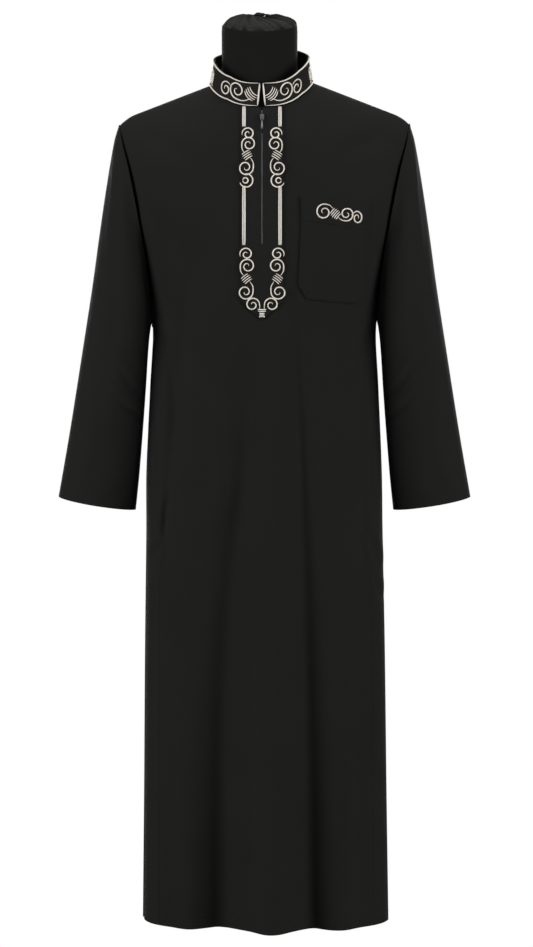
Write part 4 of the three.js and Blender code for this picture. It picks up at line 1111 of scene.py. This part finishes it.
def motif_lines(motif):
    """The cords of a motif about its own centre."""
    if motif["kind"] == "ring":
        return [evenly(around(np.linspace(0, 2 * math.pi, 60), motif["size"]), 0.6)]
    if motif["kind"] == "hook":
        sweep = np.radians(motif["start"] + np.linspace(0, motif["sweep"], 50))
        return [evenly(around(sweep, motif["size"]), 0.6)]
    t = np.linspace(0, 1, 22)
    angle = math.radians(motif["start"]) + motif["turn"] * 2 * math.pi * 1.5 * t
    spiral = around(angle, motif["size"] * (1 - 0.86 * t ** 1.3))
    spiral = spiral * np.array(motif.get("stretch", (1.0, 1.0)))
    return [curve_through(motif["lead"] + [tuple(point) for point in spiral])]


def hatch_strokes(motif):
    """Slanted satin strokes side by side, the outer ones a little shorter."""
    turn = math.radians(motif["tilt"])
    along_it = np.array([math.cos(turn), math.sin(turn)])
    beside = np.array([-math.sin(turn), math.cos(turn)])
    count = motif["count"]
    lines = []
    for step in range(count):
        place = step - (count - 1) / 2
        reach = motif["length"] / 2 * (1 - 0.1 * abs(place))
        t = np.linspace(-1, 1, 15)[:, None]
        bow = motif.get("bow", 0.6) * (1 - t * t)
        lines.append(t * reach * along_it + (place * motif["spacing"] + bow) * beside)
    return lines


def scroll_tubes(motif, place, laid):
    """The cord or strokes of one motif. laid puts lines of the motif's own plane on the garment
    and gives the directions away from the cloth."""
    centre = np.array(place)
    if motif["kind"] == "hatch":
        tubes = []
        for line in hatch_strokes(motif):
            path, up = laid(line + centre)
            tubes.append(tube(path, up, SATIN_RADIUS * tapered(len(path)), squash=0.9))
        return tubes
    tubes = []
    for line in motif_lines(motif):
        path, up = laid(line + centre)
        tubes += twisted_cord(path, up)
    return tubes


# --- Pieces -------------------------------------------------------------------------------

class ROBE_OT_panels(bpy.types.Operator):
    """Front and back panels with their folds, from the hem to the shoulder seams"""
    bl_idname = "robe.panels"
    bl_label = "Front and back"

    def execute(self, context):
        for name, back in (("front", False), ("back", True)):
            points = creased(panel_points(back))
            dropped = None
            if not back:
                slit_cell = PANEL_STEPS["columns"]
                dropped = np.zeros((len(points) - 1, points.shape[1] - 1), dtype=bool)
                dropped[:, slit_cell] = points[:-1, slit_cell, 2] > FRONT_SLIT_END_Z
            piece = cloth_grid(f"{name}_cloth", points, uv_size=(0.48, 1.38), dropped=dropped)
            finish_piece(piece, finish_of("suiting"), [name])
        return {"FINISHED"}


class ROBE_OT_sleeves(bpy.types.Operator):
    """One-piece sleeves hanging from the armholes"""
    bl_idname = "robe.sleeves"
    bl_label = "Sleeves"

    def execute(self, context):
        for side, name in ((1, "sleeve_left"), (-1, "sleeve_right")):
            points = sleeve_points(side)
            piece = cloth_grid(f"{name}_cloth", points, uv_size=(0.38, 0.62), flip=side > 0,
                               closed=True)
            finish_piece(piece, finish_of("suiting"), [name])
        return {"FINISHED"}


class ROBE_OT_collar(bpy.types.Operator):
    """Stand collar, open at the front"""
    bl_idname = "robe.collar"
    bl_label = "Collar"

    def execute(self, context):
        levels = np.linspace(0, 1, 17)
        rows = []
        for level in levels:
            gap = mix(COLLAR_GAP_BASE, COLLAR_GAP_TOP, level)
            start = math.asin(gap / NECK_HALF_WIDTH)
            angle = np.concatenate([
                np.linspace(start, math.pi / 2, 60, endpoint=False),
                np.linspace(math.pi / 2, math.pi, 51)])
            up = 0.8 + level * (collar_height(angle) - 0.8)
            halves = []
            for side in (-1, 1):
                base = neck_points(angle, side)
                x = base[:, 0] - side * level * COLLAR_LEAN_SIDE * np.sin(angle)
                y = base[:, 1] + level * COLLAR_LEAN_FRONT * np.cos(angle)
                halves.append(np.stack([x, y, base[:, 2] + up], axis=-1))
            rows.append(np.concatenate([halves[0], halves[1][::-1][1:]]))
        points = np.array(rows)
        piece = cloth_grid("collar_cloth", points, thickness=COLLAR_CLOTH, uv_size=(0.5, 0.04),
                           flip=True)
        finish_piece(piece, finish_of("suiting"), ["collar"])
        return {"FINISHED"}


class ROBE_OT_placket(bpy.types.Operator):
    """Placket strip with its pointed end and the slit for the zip"""
    bl_idname = "robe.placket"
    bl_label = "Placket"

    def execute(self, context):
        slit = PLACKET_SLIT_HALF / PLACKET_HALF_WIDTH
        half = np.linspace(slit, 1, 20)
        offset = np.concatenate([-half[::-1], half])[None, :]
        x = PLACKET_CENTRE + offset * PLACKET_HALF_WIDTH
        tip = mix(PLACKET_TIP_Z, PLACKET_SHOULDER_Z, np.abs(offset))
        level = np.linspace(0, 1, 131)[:, None]
        z = mix(tip, neck_front_z(x) - 1, level)
        x = np.broadcast_to(x, z.shape)
        dropped = np.zeros((z.shape[0] - 1, z.shape[1] - 1), dtype=bool)
        dropped[:, 19] = z[:-1, 19] > ZIP_END_Z
        points = on_front(x, z, ON_FRONT + CLOTH)
        piece = cloth_grid("placket_cloth", points, uv_size=(0.068, 0.35), dropped=dropped)
        finish_piece(piece, finish_of("suiting"), ["placket"])
        return {"FINISHED"}


def quad_grid(corners, columns, rows):
    """x and z of a grid between four corners: low left, low right, high right, high left."""
    low_left, low_right, high_right, high_left = (np.array(c, dtype=float) for c in corners)
    u = np.linspace(0, 1, columns + 1)[None, :, None]
    v = np.linspace(0, 1, rows + 1)[:, None, None]
    return mix(mix(low_left, low_right, u), mix(high_left, high_right, u), v)


class ROBE_OT_pocket(bpy.types.Operator):
    """Chest pocket with cut lower corners and its top band"""
    bl_idname = "robe.pocket"
    bl_label = "Chest pocket"

    def execute(self, context):
        seam = np.array([0, SEAM_GAP])
        corner = {name: np.array(place, dtype=float) for name, place in POCKET.items()}
        upper = quad_grid([corner["side_left"], corner["side_right"],
                           corner["band_right"] - seam, corner["band_left"] - seam], 48, 46)
        lower = quad_grid([corner["bottom_left"], corner["bottom_right"],
                           corner["side_right"], corner["side_left"]], 48, 9)
        bag = np.concatenate([lower[:-1], upper])
        band = quad_grid([corner["band_left"], corner["band_right"],
                          corner["top_right"], corner["top_left"]], 48, 16)
        for name, node, grid, extra in (
                ("chest_pocket_cloth", "chest_pocket", bag, 0),
                ("pocket_band_cloth", "pocket_band", band, 0.5)):
            x, z = grid[..., 0], grid[..., 1]
            # The bag stands off a little in its middle, as an empty pocket does.
            u = np.linspace(-1, 1, x.shape[1])[None, :]
            v = np.linspace(-1, 1, x.shape[0])[:, None]
            swell = 0.9 * (1 - u * u) * (1 - v * v) if node == "chest_pocket" else 0
            points = on_front(x, z, ON_FRONT + CLOTH + extra + swell)
            piece = cloth_grid(name, points, uv_size=(0.11, 0.14), thickness=CLOTH + extra)
            finish_piece(piece, finish_of("suiting"), [node])
        return {"FINISHED"}


def zip_strip(half, height):
    z = np.linspace(ZIP_LOW_Z, float(neck_front_z(np.float64(PLACKET_CENTRE))) - 3, 120)[:, None]
    x = PLACKET_CENTRE + np.linspace(-half, half, 9)[None, :]
    x, z = np.broadcast_arrays(x, z)
    return on_front(x, z, height)


def zip_frame():
    """The zip head's origin and its axes: across, up the slope and away from the cloth."""
    place = np.array([PLACKET_CENTRE, skin_y(np.float64(PLACKET_CENTRE), np.float64(SLIDER_Z),
                                             False), SLIDER_Z], dtype=float)
    away = skin_normals(place[None])[0]
    away = unit(np.array([0, away[1], away[2]]))
    place = place + skin_normals(place[None])[0] * (ON_FRONT + CLOTH + SEAM_GAP)
    across = np.array([1.0, 0, 0])
    return place, across, np.cross(away, across), away


def zip_box(name, size, centre, bevel=0.25):
    """A bevelled bar in the zip head's frame: across, up the slope, away from the cloth."""
    place, across, upward, away = zip_frame()
    start_clean()
    bpy.ops.mesh.primitive_cube_add(size=1)
    piece = bpy.context.active_object
    piece.name = piece.data.name = name
    for vertex in piece.data.vertices:
        local = np.array(vertex.co) * np.array(size) + np.array(centre)
        vertex.co = to_frame(place + local[0] * across + local[1] * upward + local[2] * away)
    if bevel:
        apply_modifier(piece, "BEVEL", width=bevel * MM, segments=2)
    return piece


def joined(name, parts):
    start_clean()
    for part in parts:
        part.select_set(True)
    bpy.context.view_layer.objects.active = parts[0]
    if len(parts) > 1:
        bpy.ops.object.join()
    piece = bpy.context.active_object
    piece.name = piece.data.name = name
    only(piece)
    bpy.ops.object.shade_smooth_by_angle(angle=math.radians(40))
    return piece


class ROBE_OT_zip(bpy.types.Operator):
    """Zip tape, teeth, slider and the hinged pull"""
    bl_idname = "robe.zip"
    bl_label = "Zip"

    def execute(self, context):
        tape = surface_grid("zip_tape_weave", zip_strip(TAPE_HALF, -CLOTH - BEHIND_FRONT),
                            uv_size=(0.026, 0.28))
        apply_modifier(tape, "SOLIDIFY", thickness=0.8 * MM, offset=-1)
        finish_piece(tape, finish_of("zip_tape"), ["zip_tape"])
        self.teeth()
        self.slider()
        self.pull()
        return {"FINISHED"}

    def teeth(self):
        top = float(neck_front_z(np.float64(PLACKET_CENTRE))) - 4
        tubes = []
        for index, z in enumerate(np.arange(ZIP_LOW_Z + 1, top, sizes().tooth_pitch / MM)):
            side = 1 if index % 2 else -1
            x = PLACKET_CENTRE + side * 0.35 + np.linspace(-1.7, 1.7, 6)
            path = on_front(x, np.full(6, z), -0.75)
            shares = np.array([0, 0.75, 1, 1, 0.75, 0])
            tubes.append(tube(path, skin_normals(path), 0.62 * shares, sides=8))
        teeth = strands("zip_teeth", tubes)
        finish_piece(teeth, finish_of("zip_teeth"), ["zip_chain"])

    def slider(self):
        width, length, thick = SLIDER["width"], SLIDER["length"], SLIDER["thickness"]
        wire, rise = SLIDER["wire"], SLIDER["bridge_rise"]
        body = zip_box("slider_body", (width, length, thick - 0.1), (0, 0, thick / 2), 0)
        place, across, upward, away = zip_frame()
        for vertex in body.data.vertices:
            local = np.array(vertex.co) / MM - place + np.array([0, 0, FLOOR_Z])
            if local @ upward < 0:
                shift = -0.38 * (local @ across)
                vertex.co = np.array(vertex.co) + across * shift * MM
        apply_modifier(body, "BEVEL", width=0.7 * MM, segments=3)
        top = thick + rise
        reach = length / 2 - 1
        deck = zip_box("slider_deck", (SLIDER["bridge_width"], 2 * reach, wire),
                       (0, 0, top - wire / 2), 0.35)
        legs = [zip_box("slider_leg", (SLIDER["bridge_width"], wire, rise + 0.5),
                        (0, side * (reach - wire / 2), (thick - 0.5 + top) / 2), 0.25)
                for side in (-1, 1)]
        slider = joined("zip_slider_metal", [body, deck, *legs])
        finish_piece(slider, finish_of("zip_metal"), ["zip_slider"])

    def pull(self):
        wire = PULL_FRAME["wire"]
        height = SLIDER["thickness"] + wire / 2 + 0.4
        width, length = PULL_FRAME["width"], PULL_FRAME["length"]
        parts = [
            zip_box("pull_bar", (width, wire, wire), (0, 0, height), 0.35),
            zip_box("pull_bar", (width, wire, wire), (0, -length, height), 0.35),
        ]
        parts += [zip_box("pull_arm", (wire, length + wire, wire),
                          (side * (width - wire) / 2, -length / 2, height), 0.35)
                  for side in (-1, 1)]
        tab = zip_box("pull_tab", (PULL_TAB["width"], PULL_TAB["length"], PULL_TAB["thickness"]),
                      (0, -length - PULL_TAB["length"] / 2, height), 0.4)
        pull = joined("zip_pull_metal", [*parts, tab])
        finish_piece(pull, finish_of("zip_metal"), ["zip_pull"], body=PULL)


class ROBE_OT_braid(bpy.types.Operator):
    """Flat braid bars beside the zip, and the piping round the collar"""
    bl_idname = "robe.braid"
    bl_label = "Braid and piping"

    def execute(self, context):
        bars = (("braid_top_right", -1, BRAID_TOP), ("braid_top_left", 1, BRAID_TOP),
                ("braid_low_right", -1, BRAID_LOW), ("braid_low_left", 1, BRAID_LOW))
        for node, side, ends in bars:
            low, high = ends["low"], ends["high"]
            centre = PLACKET_CENTRE + side * BRAID_OFFSET
            tubes = []
            for z in np.arange(low + 1.2, high - 1.6, 1.75):
                for lean in (-1, 1):
                    x = centre + lean * np.linspace(0.1, BRAID_WIDTH / 2 - 0.7, 6)
                    path, up = front_line(
                        np.stack([x, z + 0.55 * np.abs(x - centre)], axis=-1),
                        ON_FRONT + CLOTH + 1.2)
                    tubes.append(tube(path, up, 0.85 * tapered(6) + 0.02, squash=0.8))
            for lean in (-1, 1):
                line = [(centre + lean * (BRAID_WIDTH / 2 - 0.7), z)
                        for z in np.arange(low + 0.5, high - 0.4, 0.8)]
                path, up = front_line(line, ON_FRONT + CLOTH + 0.9)
                tubes.append(tube(path, up, 0.55 * tapered(len(path))))
            bar = strands(f"{node}_cord", tubes)
            finish_piece(bar, finish_of("braid"), [node])
        self.piping()
        return {"FINISHED"}

    def piping(self):
        tubes = []
        radius = sizes().piping_radius / MM
        base_start = COLLAR_GAP_BASE + 1.0
        top_start = COLLAR_GAP_TOP + 1.0
        for up_to in (3.0, COLLAR_HEIGHT["front"] - 1.0):
            start = base_start if up_to < 10 else top_start
            out = np.linspace(start, COLLAR_REACH * math.pi, 430)
            right, right_up = collar_points(-1, out, up_to, 1.0)
            left, left_up = collar_points(1, out, up_to, 1.0)
            path = np.concatenate([right, left[::-1][1:]])
            away = np.concatenate([right_up, left_up[::-1][1:]])
            tubes += twisted_cord(path, away, radius=radius, pitch=5.0)
        for side in (-1, 1):
            up = np.linspace(3.0, COLLAR_HEIGHT["front"] - 1.0, 60)
            out = mix(base_start, top_start, (up - 3) / (COLLAR_HEIGHT["front"] - 4))
            path, away = collar_points(side, out, up, 1.0)
            tubes += twisted_cord(path, away, radius=radius, pitch=5.0)
        piping = strands("collar_piping", tubes)
        finish_piece(piping, finish_of("braid"))


class ROBE_OT_embroidery(bpy.types.Operator):
    """Couched cord scrolls and satin leaves on the placket, collar and pocket band"""
    bl_idname = "robe.embroidery"
    bl_label = "Embroidery"

    def execute(self, context):
        self.placket()
        self.collar()
        self.pocket()
        return {"FINISHED"}

    def placket(self):
        height = ON_FRONT + CLOTH + 0.9
        for side, name in ((-1, "right"), (1, "left")):
            def laid(line):
                x = PLACKET_CENTRE + side * line[:, 0]
                return front_line(np.stack([x, line[:, 1]], axis=-1), height)
            tubes = []
            for motif in PLACKET_SCROLLS:
                tubes += scroll_tubes(motif, (motif["out"], motif["z"]), laid)
            finish_piece(strands(f"placket_scrolls_{name}", tubes), finish_of("braid"))
        lines = [[(PLACKET_CENTRE + reach * t, z + 0.8 * t * t) for t in np.linspace(-1, 1, 12)]
                 for z, reach in FINIAL]
        lines += [[(PLACKET_CENTRE + side * out, z) for z in np.linspace(high, low, 6)]
                  for out, high, low in FINIAL_FEET for side in (-1, 1)]
        tubes = []
        for line in lines:
            path, up = front_line(line, height)
            tubes.append(tube(path, up, 1.05 * tapered(len(path)), squash=0.8))
        finish_piece(strands("placket_finial", tubes), finish_of("braid"))

    def collar(self):
        tubes = []
        for side in (-1, 1):
            def laid(line):
                return collar_points(side, line[:, 0], line[:, 1], 0.9)
            for motif in COLLAR_SCROLLS:
                tubes += scroll_tubes(motif, (motif["out"], motif["up"]), laid)
            tubes += self.grain(laid)
        finish_piece(strands("collar_scrolls", tubes), finish_of("braid"))

    def grain(self, laid):
        """A patch of small seed stitches set every way."""
        seeds = np.random.default_rng(7)
        tubes = []
        for _ in range(COLLAR_GRAIN["knots"]):
            u, v = seeds.uniform(-1, 1, 2)
            centre = np.array([COLLAR_GRAIN["out"] + u * COLLAR_GRAIN["wide"] / 2,
                               COLLAR_GRAIN["up"] + v * COLLAR_GRAIN["high"] / 2])
            turn = seeds.uniform(0, math.pi)
            t = np.linspace(-1, 1, 5)[:, None]
            path, up = laid(centre + 1.3 * t * np.array([math.cos(turn), math.sin(turn)]))
            tubes.append(tube(path, up, 0.6 * tapered(5)))
        return tubes

    def pocket(self):
        height = ON_FRONT + CLOTH + 1.4

        def laid(line):
            return front_line(line, height)
        tubes = []
        for motif in POCKET_SCROLLS:
            tubes += scroll_tubes(motif, (motif["x"], motif["z"]), laid)
        finish_piece(strands("pocket_scrolls", tubes), finish_of("braid"))


class ROBE_OT_stitching(bpy.types.Operator):
    """Topstitching of hem, cuffs, placket and pocket"""
    bl_idname = "robe.stitching"
    bl_label = "Stitching"

    def execute(self, context):
        tubes = []
        z = np.array([BODY["z"][0] + HEM_STITCH])
        for back in (False, True):
            for side in (-1, 1):
                line = creased(low_rows(z, side, back, PLACKET_CENTRE, 240)[0])
                tubes += stitches(line, skin_normals(line))
        finish_piece(strands("hem_stitches", tubes), finish_of("thread"))
        tubes = []
        for side in (-1, 1):
            rings = sleeve_points(side)
            row = SLEEVE_RINGS * (1 - CUFF_STITCH / SLEEVE_LONG)
            low = int(row)
            ring = mix(rings[low], rings[low + 1], row - low)
            ring = np.concatenate([ring, ring[:1]])
            centre = ring.mean(axis=0)
            away = unit((ring - centre) * np.array([1, 1, 0]))
            tubes += stitches(ring, away)
        finish_piece(strands("cuff_stitches", tubes), finish_of("thread"))
        self.placket_and_pocket()
        return {"FINISHED"}

    def placket_and_pocket(self):
        height = ON_FRONT + CLOTH + 0.05
        lines = []
        inset = PLACKET_HALF_WIDTH - 2
        for side in (-1, 1):
            x = PLACKET_CENTRE + side * inset
            top = float(neck_front_z(np.float64(x))) - 2
            lines.append([(x, top), (x, PLACKET_SHOULDER_Z + 1),
                          (PLACKET_CENTRE, PLACKET_TIP_Z + 3)])
            x = PLACKET_CENTRE + side * ZIP_STITCH["half"]
            lines.append([(x, ZIP_STITCH["top"]), (x, ZIP_END_Z - 2)])
        # The shield behind the zip is caught down below the zip's end.
        low, shield = ZIP_STITCH["low"], PLACKET_CENTRE + ZIP_STITCH["shield"]
        lines.append([(PLACKET_CENTRE - ZIP_STITCH["half"], low), (shield, low)])
        lines.append([(shield, ZIP_END_Z - 2), (shield, low)])
        tubes = []
        for line in lines:
            path, up = front_line(evenly(line, 1.5), height)
            tubes += stitches(path, up, radius=0.28)
        finish_piece(strands("placket_stitches", tubes), finish_of("thread"))
        corner = {name: np.array(place, dtype=float) for name, place in POCKET.items()}
        middle = np.mean([corner["top_left"], corner["bottom_right"]], axis=0)
        rim = [corner[name] for name in (
            "top_left", "side_left", "bottom_left", "bottom_right", "side_right", "top_right")]
        rim = [point + 2.0 * unit(middle - point) * 1.3 for point in rim]
        band_low = [corner["band_left"] + (1.5, 2.2), corner["band_right"] + (-1.5, 2.2)]
        tubes = []
        for line, lift in ((rim, 0.9), (band_low, 0.55)):
            path, up = front_line(evenly(line, 1.5), height + lift)
            tubes += stitches(path, up, radius=0.28)
        finish_piece(strands("pocket_stitches", tubes), finish_of("thread"))


class ROBE_OT_form(bpy.types.Operator):
    """Dress form: torso, cloth-covered neck block with its knot, pole and base"""
    bl_idname = "robe.form"
    bl_label = "Dress form"

    def execute(self, context):
        self.torso()
        self.neck()
        self.knot()
        self.stand()
        return {"FINISHED"}

    def torso(self):
        z = np.linspace(TORSO["z"][0], TORSO["z"][-1], 90)[:, None]
        angle = np.linspace(0, 2 * np.pi, 120, endpoint=False)[None, :]
        back = np.sin(angle) > 0
        x = along(TORSO, z, "half_width") * np.cos(angle)
        own = np.where(back, along(TORSO, z, "back"), along(TORSO, z, "front"))
        own = own * np.abs(np.sin(angle))
        z_all = np.broadcast_to(z, x.shape)
        room = np.maximum(0, plain_depth(x, z_all, np.broadcast_to(back, x.shape))
                          - CLOTH - FORM_CLEARANCE - 0.5)
        y = np.where(back, 1, -1) * np.minimum(own, room)
        rings = np.stack([x, y, z_all], axis=-1)
        torso = self.capped("form_torso_shell", rings)
        finish_piece(torso, finish_of("form_shell"), ["form_torso"])

    def capped(self, name, rings):
        """Rings closed at both ends by their middles."""
        low, high = rings[:1].mean(axis=1, keepdims=True), rings[-1:].mean(axis=1, keepdims=True)
        ends = np.ones((1, rings.shape[1], 1))
        rings = np.concatenate([low * ends, rings, high * ends])
        piece = surface_grid(name, rings, closed=True)
        only(piece)
        bpy.ops.object.mode_set(mode="EDIT")
        bpy.ops.mesh.select_all(action="SELECT")
        bpy.ops.mesh.normals_make_consistent(inside=False)
        bpy.ops.object.mode_set(mode="OBJECT")
        bpy.ops.object.shade_smooth_by_angle(angle=math.radians(50))
        return piece

    def neck(self):
        rows = NECK_BLOCK["z"]
        share = np.linspace(0, len(rows) - 1, 90)
        z = np.interp(share, np.arange(len(rows)), rows)[:, None]
        radius = np.interp(share, np.arange(len(rows)), NECK_BLOCK["radius"])[:, None]
        ahead = np.interp(share, np.arange(len(rows)), NECK_BLOCK["ahead"])[:, None]
        angle = np.linspace(0, 2 * np.pi, 288, endpoint=False)[None, :]
        # Gathers run from the rim to the twist, turning a little as they go in.
        inward = 1 - radius / NECK_BLOCK["radius"].max()
        turned = angle + 1.1 * inward ** 1.5
        wave = 1 - 1.9 * np.abs(np.sin(NECK_GATHERS / 2 * turned + 0.8 * np.sin(3 * turned))) ** 0.8
        fine = 0.5 * np.cos(29 * turned + 1.3 * np.sin(5 * turned))
        gather = smooth(share[:, None] / 1.5 - 2)
        out = radius + 0.5 * gather * (wave + fine)
        near = smooth((z - NECK_RIM_FROM) / NECK_RIM_REACH) * (1 - inward)
        drop = NECK_RIM_DROP * near * np.maximum(0, -np.sin(angle)) ** 1.5
        lift = gather * (2.1 * wave + 1.0 * fine - 1.6) * smooth((radius - 9) / 14)
        rings = np.stack([
            NECK_BLOCK_CENTRE + out * np.cos(angle), out * np.sin(angle) - ahead,
            z + lift - drop], axis=-1)
        neck = self.capped("form_neck_jersey", rings)
        finish_piece(neck, finish_of("form_cover"), ["form_neck"])

    def knot(self):
        """The cover's loose end, twisted into a knot with a small loop to one side."""
        top, ahead = NECK_BLOCK["z"][-1], NECK_BLOCK["ahead"][-1]
        t = np.linspace(0, 1, 110)
        angle = 2 * np.pi * 1.7 * t + 2.4
        reach = 8.0 - 4.6 * t
        path = np.stack([
            NECK_BLOCK_CENTRE + reach * np.cos(angle), reach * np.sin(angle) - ahead,
            top + 1.4 + 2.6 * t], axis=-1)
        up = np.broadcast_to(np.array([0, 0, 1.0]), path.shape)
        tubes = [tube(path, up, (2.3 + 0.5 * np.sin(19 * t)) * tapered(110) + 0.01, sides=10)]
        # The loop lies over the dome to the wearer's left.
        path = curve_through([
            (NECK_BLOCK_CENTRE + 1, -ahead, top + 2.6),
            (NECK_BLOCK_CENTRE + 8, -ahead + 2, top + 2.4),
            (NECK_BLOCK_CENTRE + 14, -ahead + 3, top + 1.9),
            (NECK_BLOCK_CENTRE + 16, -ahead + 6, top + 1.6),
            (NECK_BLOCK_CENTRE + 11, -ahead + 6, top + 2.2),
            (NECK_BLOCK_CENTRE + 2, -ahead + 3, top + 2.6)])
        up = np.broadcast_to(np.array([0, 0, 1.0]), path.shape)
        tubes.append(tube(path, up, 1.3 * tapered(len(path)) + 0.2, sides=10))
        knot = strands("form_neck_knot_jersey", tubes)
        finish_piece(knot, finish_of("form_cover"), ["form_neck_knot"])

    def stand(self):
        for name, node, radius, low, high, bevel in (
                ("form_pole_steel", "form_pole", POLE_RADIUS,
                 FLOOR_Z + BASE_THICKNESS + SEAM_GAP, TORSO["z"][0] - SEAM_GAP, 0.6),
                ("form_base_steel", "form_base", BASE_RADIUS,
                 FLOOR_Z, FLOOR_Z + BASE_THICKNESS, 2.0)):
            start_clean()
            bpy.ops.mesh.primitive_cylinder_add(
                vertices=96, radius=radius * MM, depth=(high - low) * MM,
                location=(0, 0, ((low + high) / 2 - FLOOR_Z) * MM))
            piece = bpy.context.active_object
            piece.name = piece.data.name = name
            bpy.ops.object.transform_apply(location=True, rotation=True, scale=True)
            apply_modifier(piece, "BEVEL", width=bevel * MM, segments=3, limit_method="ANGLE")
            only(piece)
            bpy.ops.object.shade_smooth_by_angle(angle=math.radians(40))
            finish_piece(piece, finish_of("stand_steel"), [node])


class ROBE_OT_stage(bpy.types.Operator):
    """Plain pale floor, soft studio light and the camera"""
    bl_idname = "robe.stage"
    bl_label = "Stage"

    def execute(self, context):
        scene = context.scene
        scene.view_settings.view_transform = "Standard"
        world = scene.world or bpy.data.worlds.new("studio")
        scene.world = world
        world.use_nodes = True
        self.white_to_camera(world.node_tree, ROOM_LIGHT)
        start_clean()
        bpy.ops.mesh.primitive_plane_add(size=60, location=(0, 0, -0.0005))
        floor = context.active_object
        floor.name = "floor"
        material = bpy.data.materials.new("white_studio_sweep")
        material.use_nodes = True
        material.node_tree.nodes.clear()
        add_node(material.node_tree, "ShaderNodeOutputMaterial")
        self.white_to_camera(material.node_tree, FLOOR_LIGHT)
        floor.data.materials.append(material)
        for name, place, size, power in STUDIO_LIGHTS:
            bpy.ops.object.light_add(type="AREA", location=place)
            light = context.active_object
            light.name = name
            light.data.size = size
            light.data.energy = power
            light.visible_camera = False
            aim = Vector((0, 0, 0.8)) - Vector(place)
            light.rotation_euler = aim.to_track_quat("-Z", "Y").to_euler()
        bpy.ops.object.camera_add(location=(CAMERA["x"], CAMERA["y"], CAMERA["z"]))
        camera = context.active_object
        camera.rotation_euler = (math.radians(90 - CAMERA["pitch"]), 0, 0)
        camera.data.sensor_width = 36
        camera.data.lens = CAMERA["lens"]
        camera.data.clip_end = 60
        scene.camera = camera
        return {"FINISHED"}

    def white_to_camera(self, tree, strength):
        """White where the camera sees it, and a dimmer light on the garment."""
        paths = add_node(tree, "ShaderNodeLightPath")
        level = add_node(tree, "ShaderNodeMapRange", {"To Min": strength, "To Max": 1.0},
                         {"Value": paths.outputs["Is Camera Ray"]})
        output = next(n for n in tree.nodes if n.bl_idname.startswith("ShaderNodeOutput"))
        glow = add_node(tree, "ShaderNodeEmission", links={"Strength": level.outputs[0]})
        tree.links.new(glow.outputs[0], output.inputs["Surface"])


class ROBE_PT_sidebar(bpy.types.Panel):
    """Sizes, colours and the steps of the build"""
    bl_idname = "ROBE_PT_sidebar"
    bl_label = "Embroidered abaya"
    bl_space_type = "VIEW_3D"
    bl_region_type = "UI"
    bl_category = "Abaya"

    def draw(self, context):
        layout = self.layout
        for title, group in (("Sizes", context.scene.robe_sizes),
                             ("Colours", context.scene.robe_finishes)):
            box = layout.box()
            box.label(text=title)
            for name in group.__annotations__:
                box.prop(group, name)
        steps = layout.column(align=True)
        for operator in OPERATORS:
            steps.operator(operator.bl_idname)


OPERATORS = (
    ROBE_OT_stage, ROBE_OT_panels, ROBE_OT_sleeves, ROBE_OT_collar, ROBE_OT_placket,
    ROBE_OT_pocket, ROBE_OT_zip, ROBE_OT_braid, ROBE_OT_embroidery, ROBE_OT_stitching,
    ROBE_OT_form,
)
CLASSES = (RobeSizes, RobeFinishes, *OPERATORS, ROBE_PT_sidebar)


def register():
    for cls in CLASSES:
        bpy.utils.register_class(cls)
    bpy.types.Scene.robe_sizes = PointerProperty(type=RobeSizes)
    bpy.types.Scene.robe_finishes = PointerProperty(type=RobeFinishes)


def unregister():
    del bpy.types.Scene.robe_finishes
    del bpy.types.Scene.robe_sizes
    for cls in reversed(CLASSES):
        bpy.utils.unregister_class(cls)


def main():
    register()
    bpy.ops.robe.stage()
    bpy.ops.robe.panels()
    bpy.ops.robe.sleeves()
    bpy.ops.robe.collar()
    bpy.ops.robe.placket()
    bpy.ops.robe.pocket()
    bpy.ops.robe.zip()
    bpy.ops.robe.braid()
    bpy.ops.robe.embroidery()
    bpy.ops.robe.stitching()
    bpy.ops.robe.form()


if __name__ == "__main__":
    main()
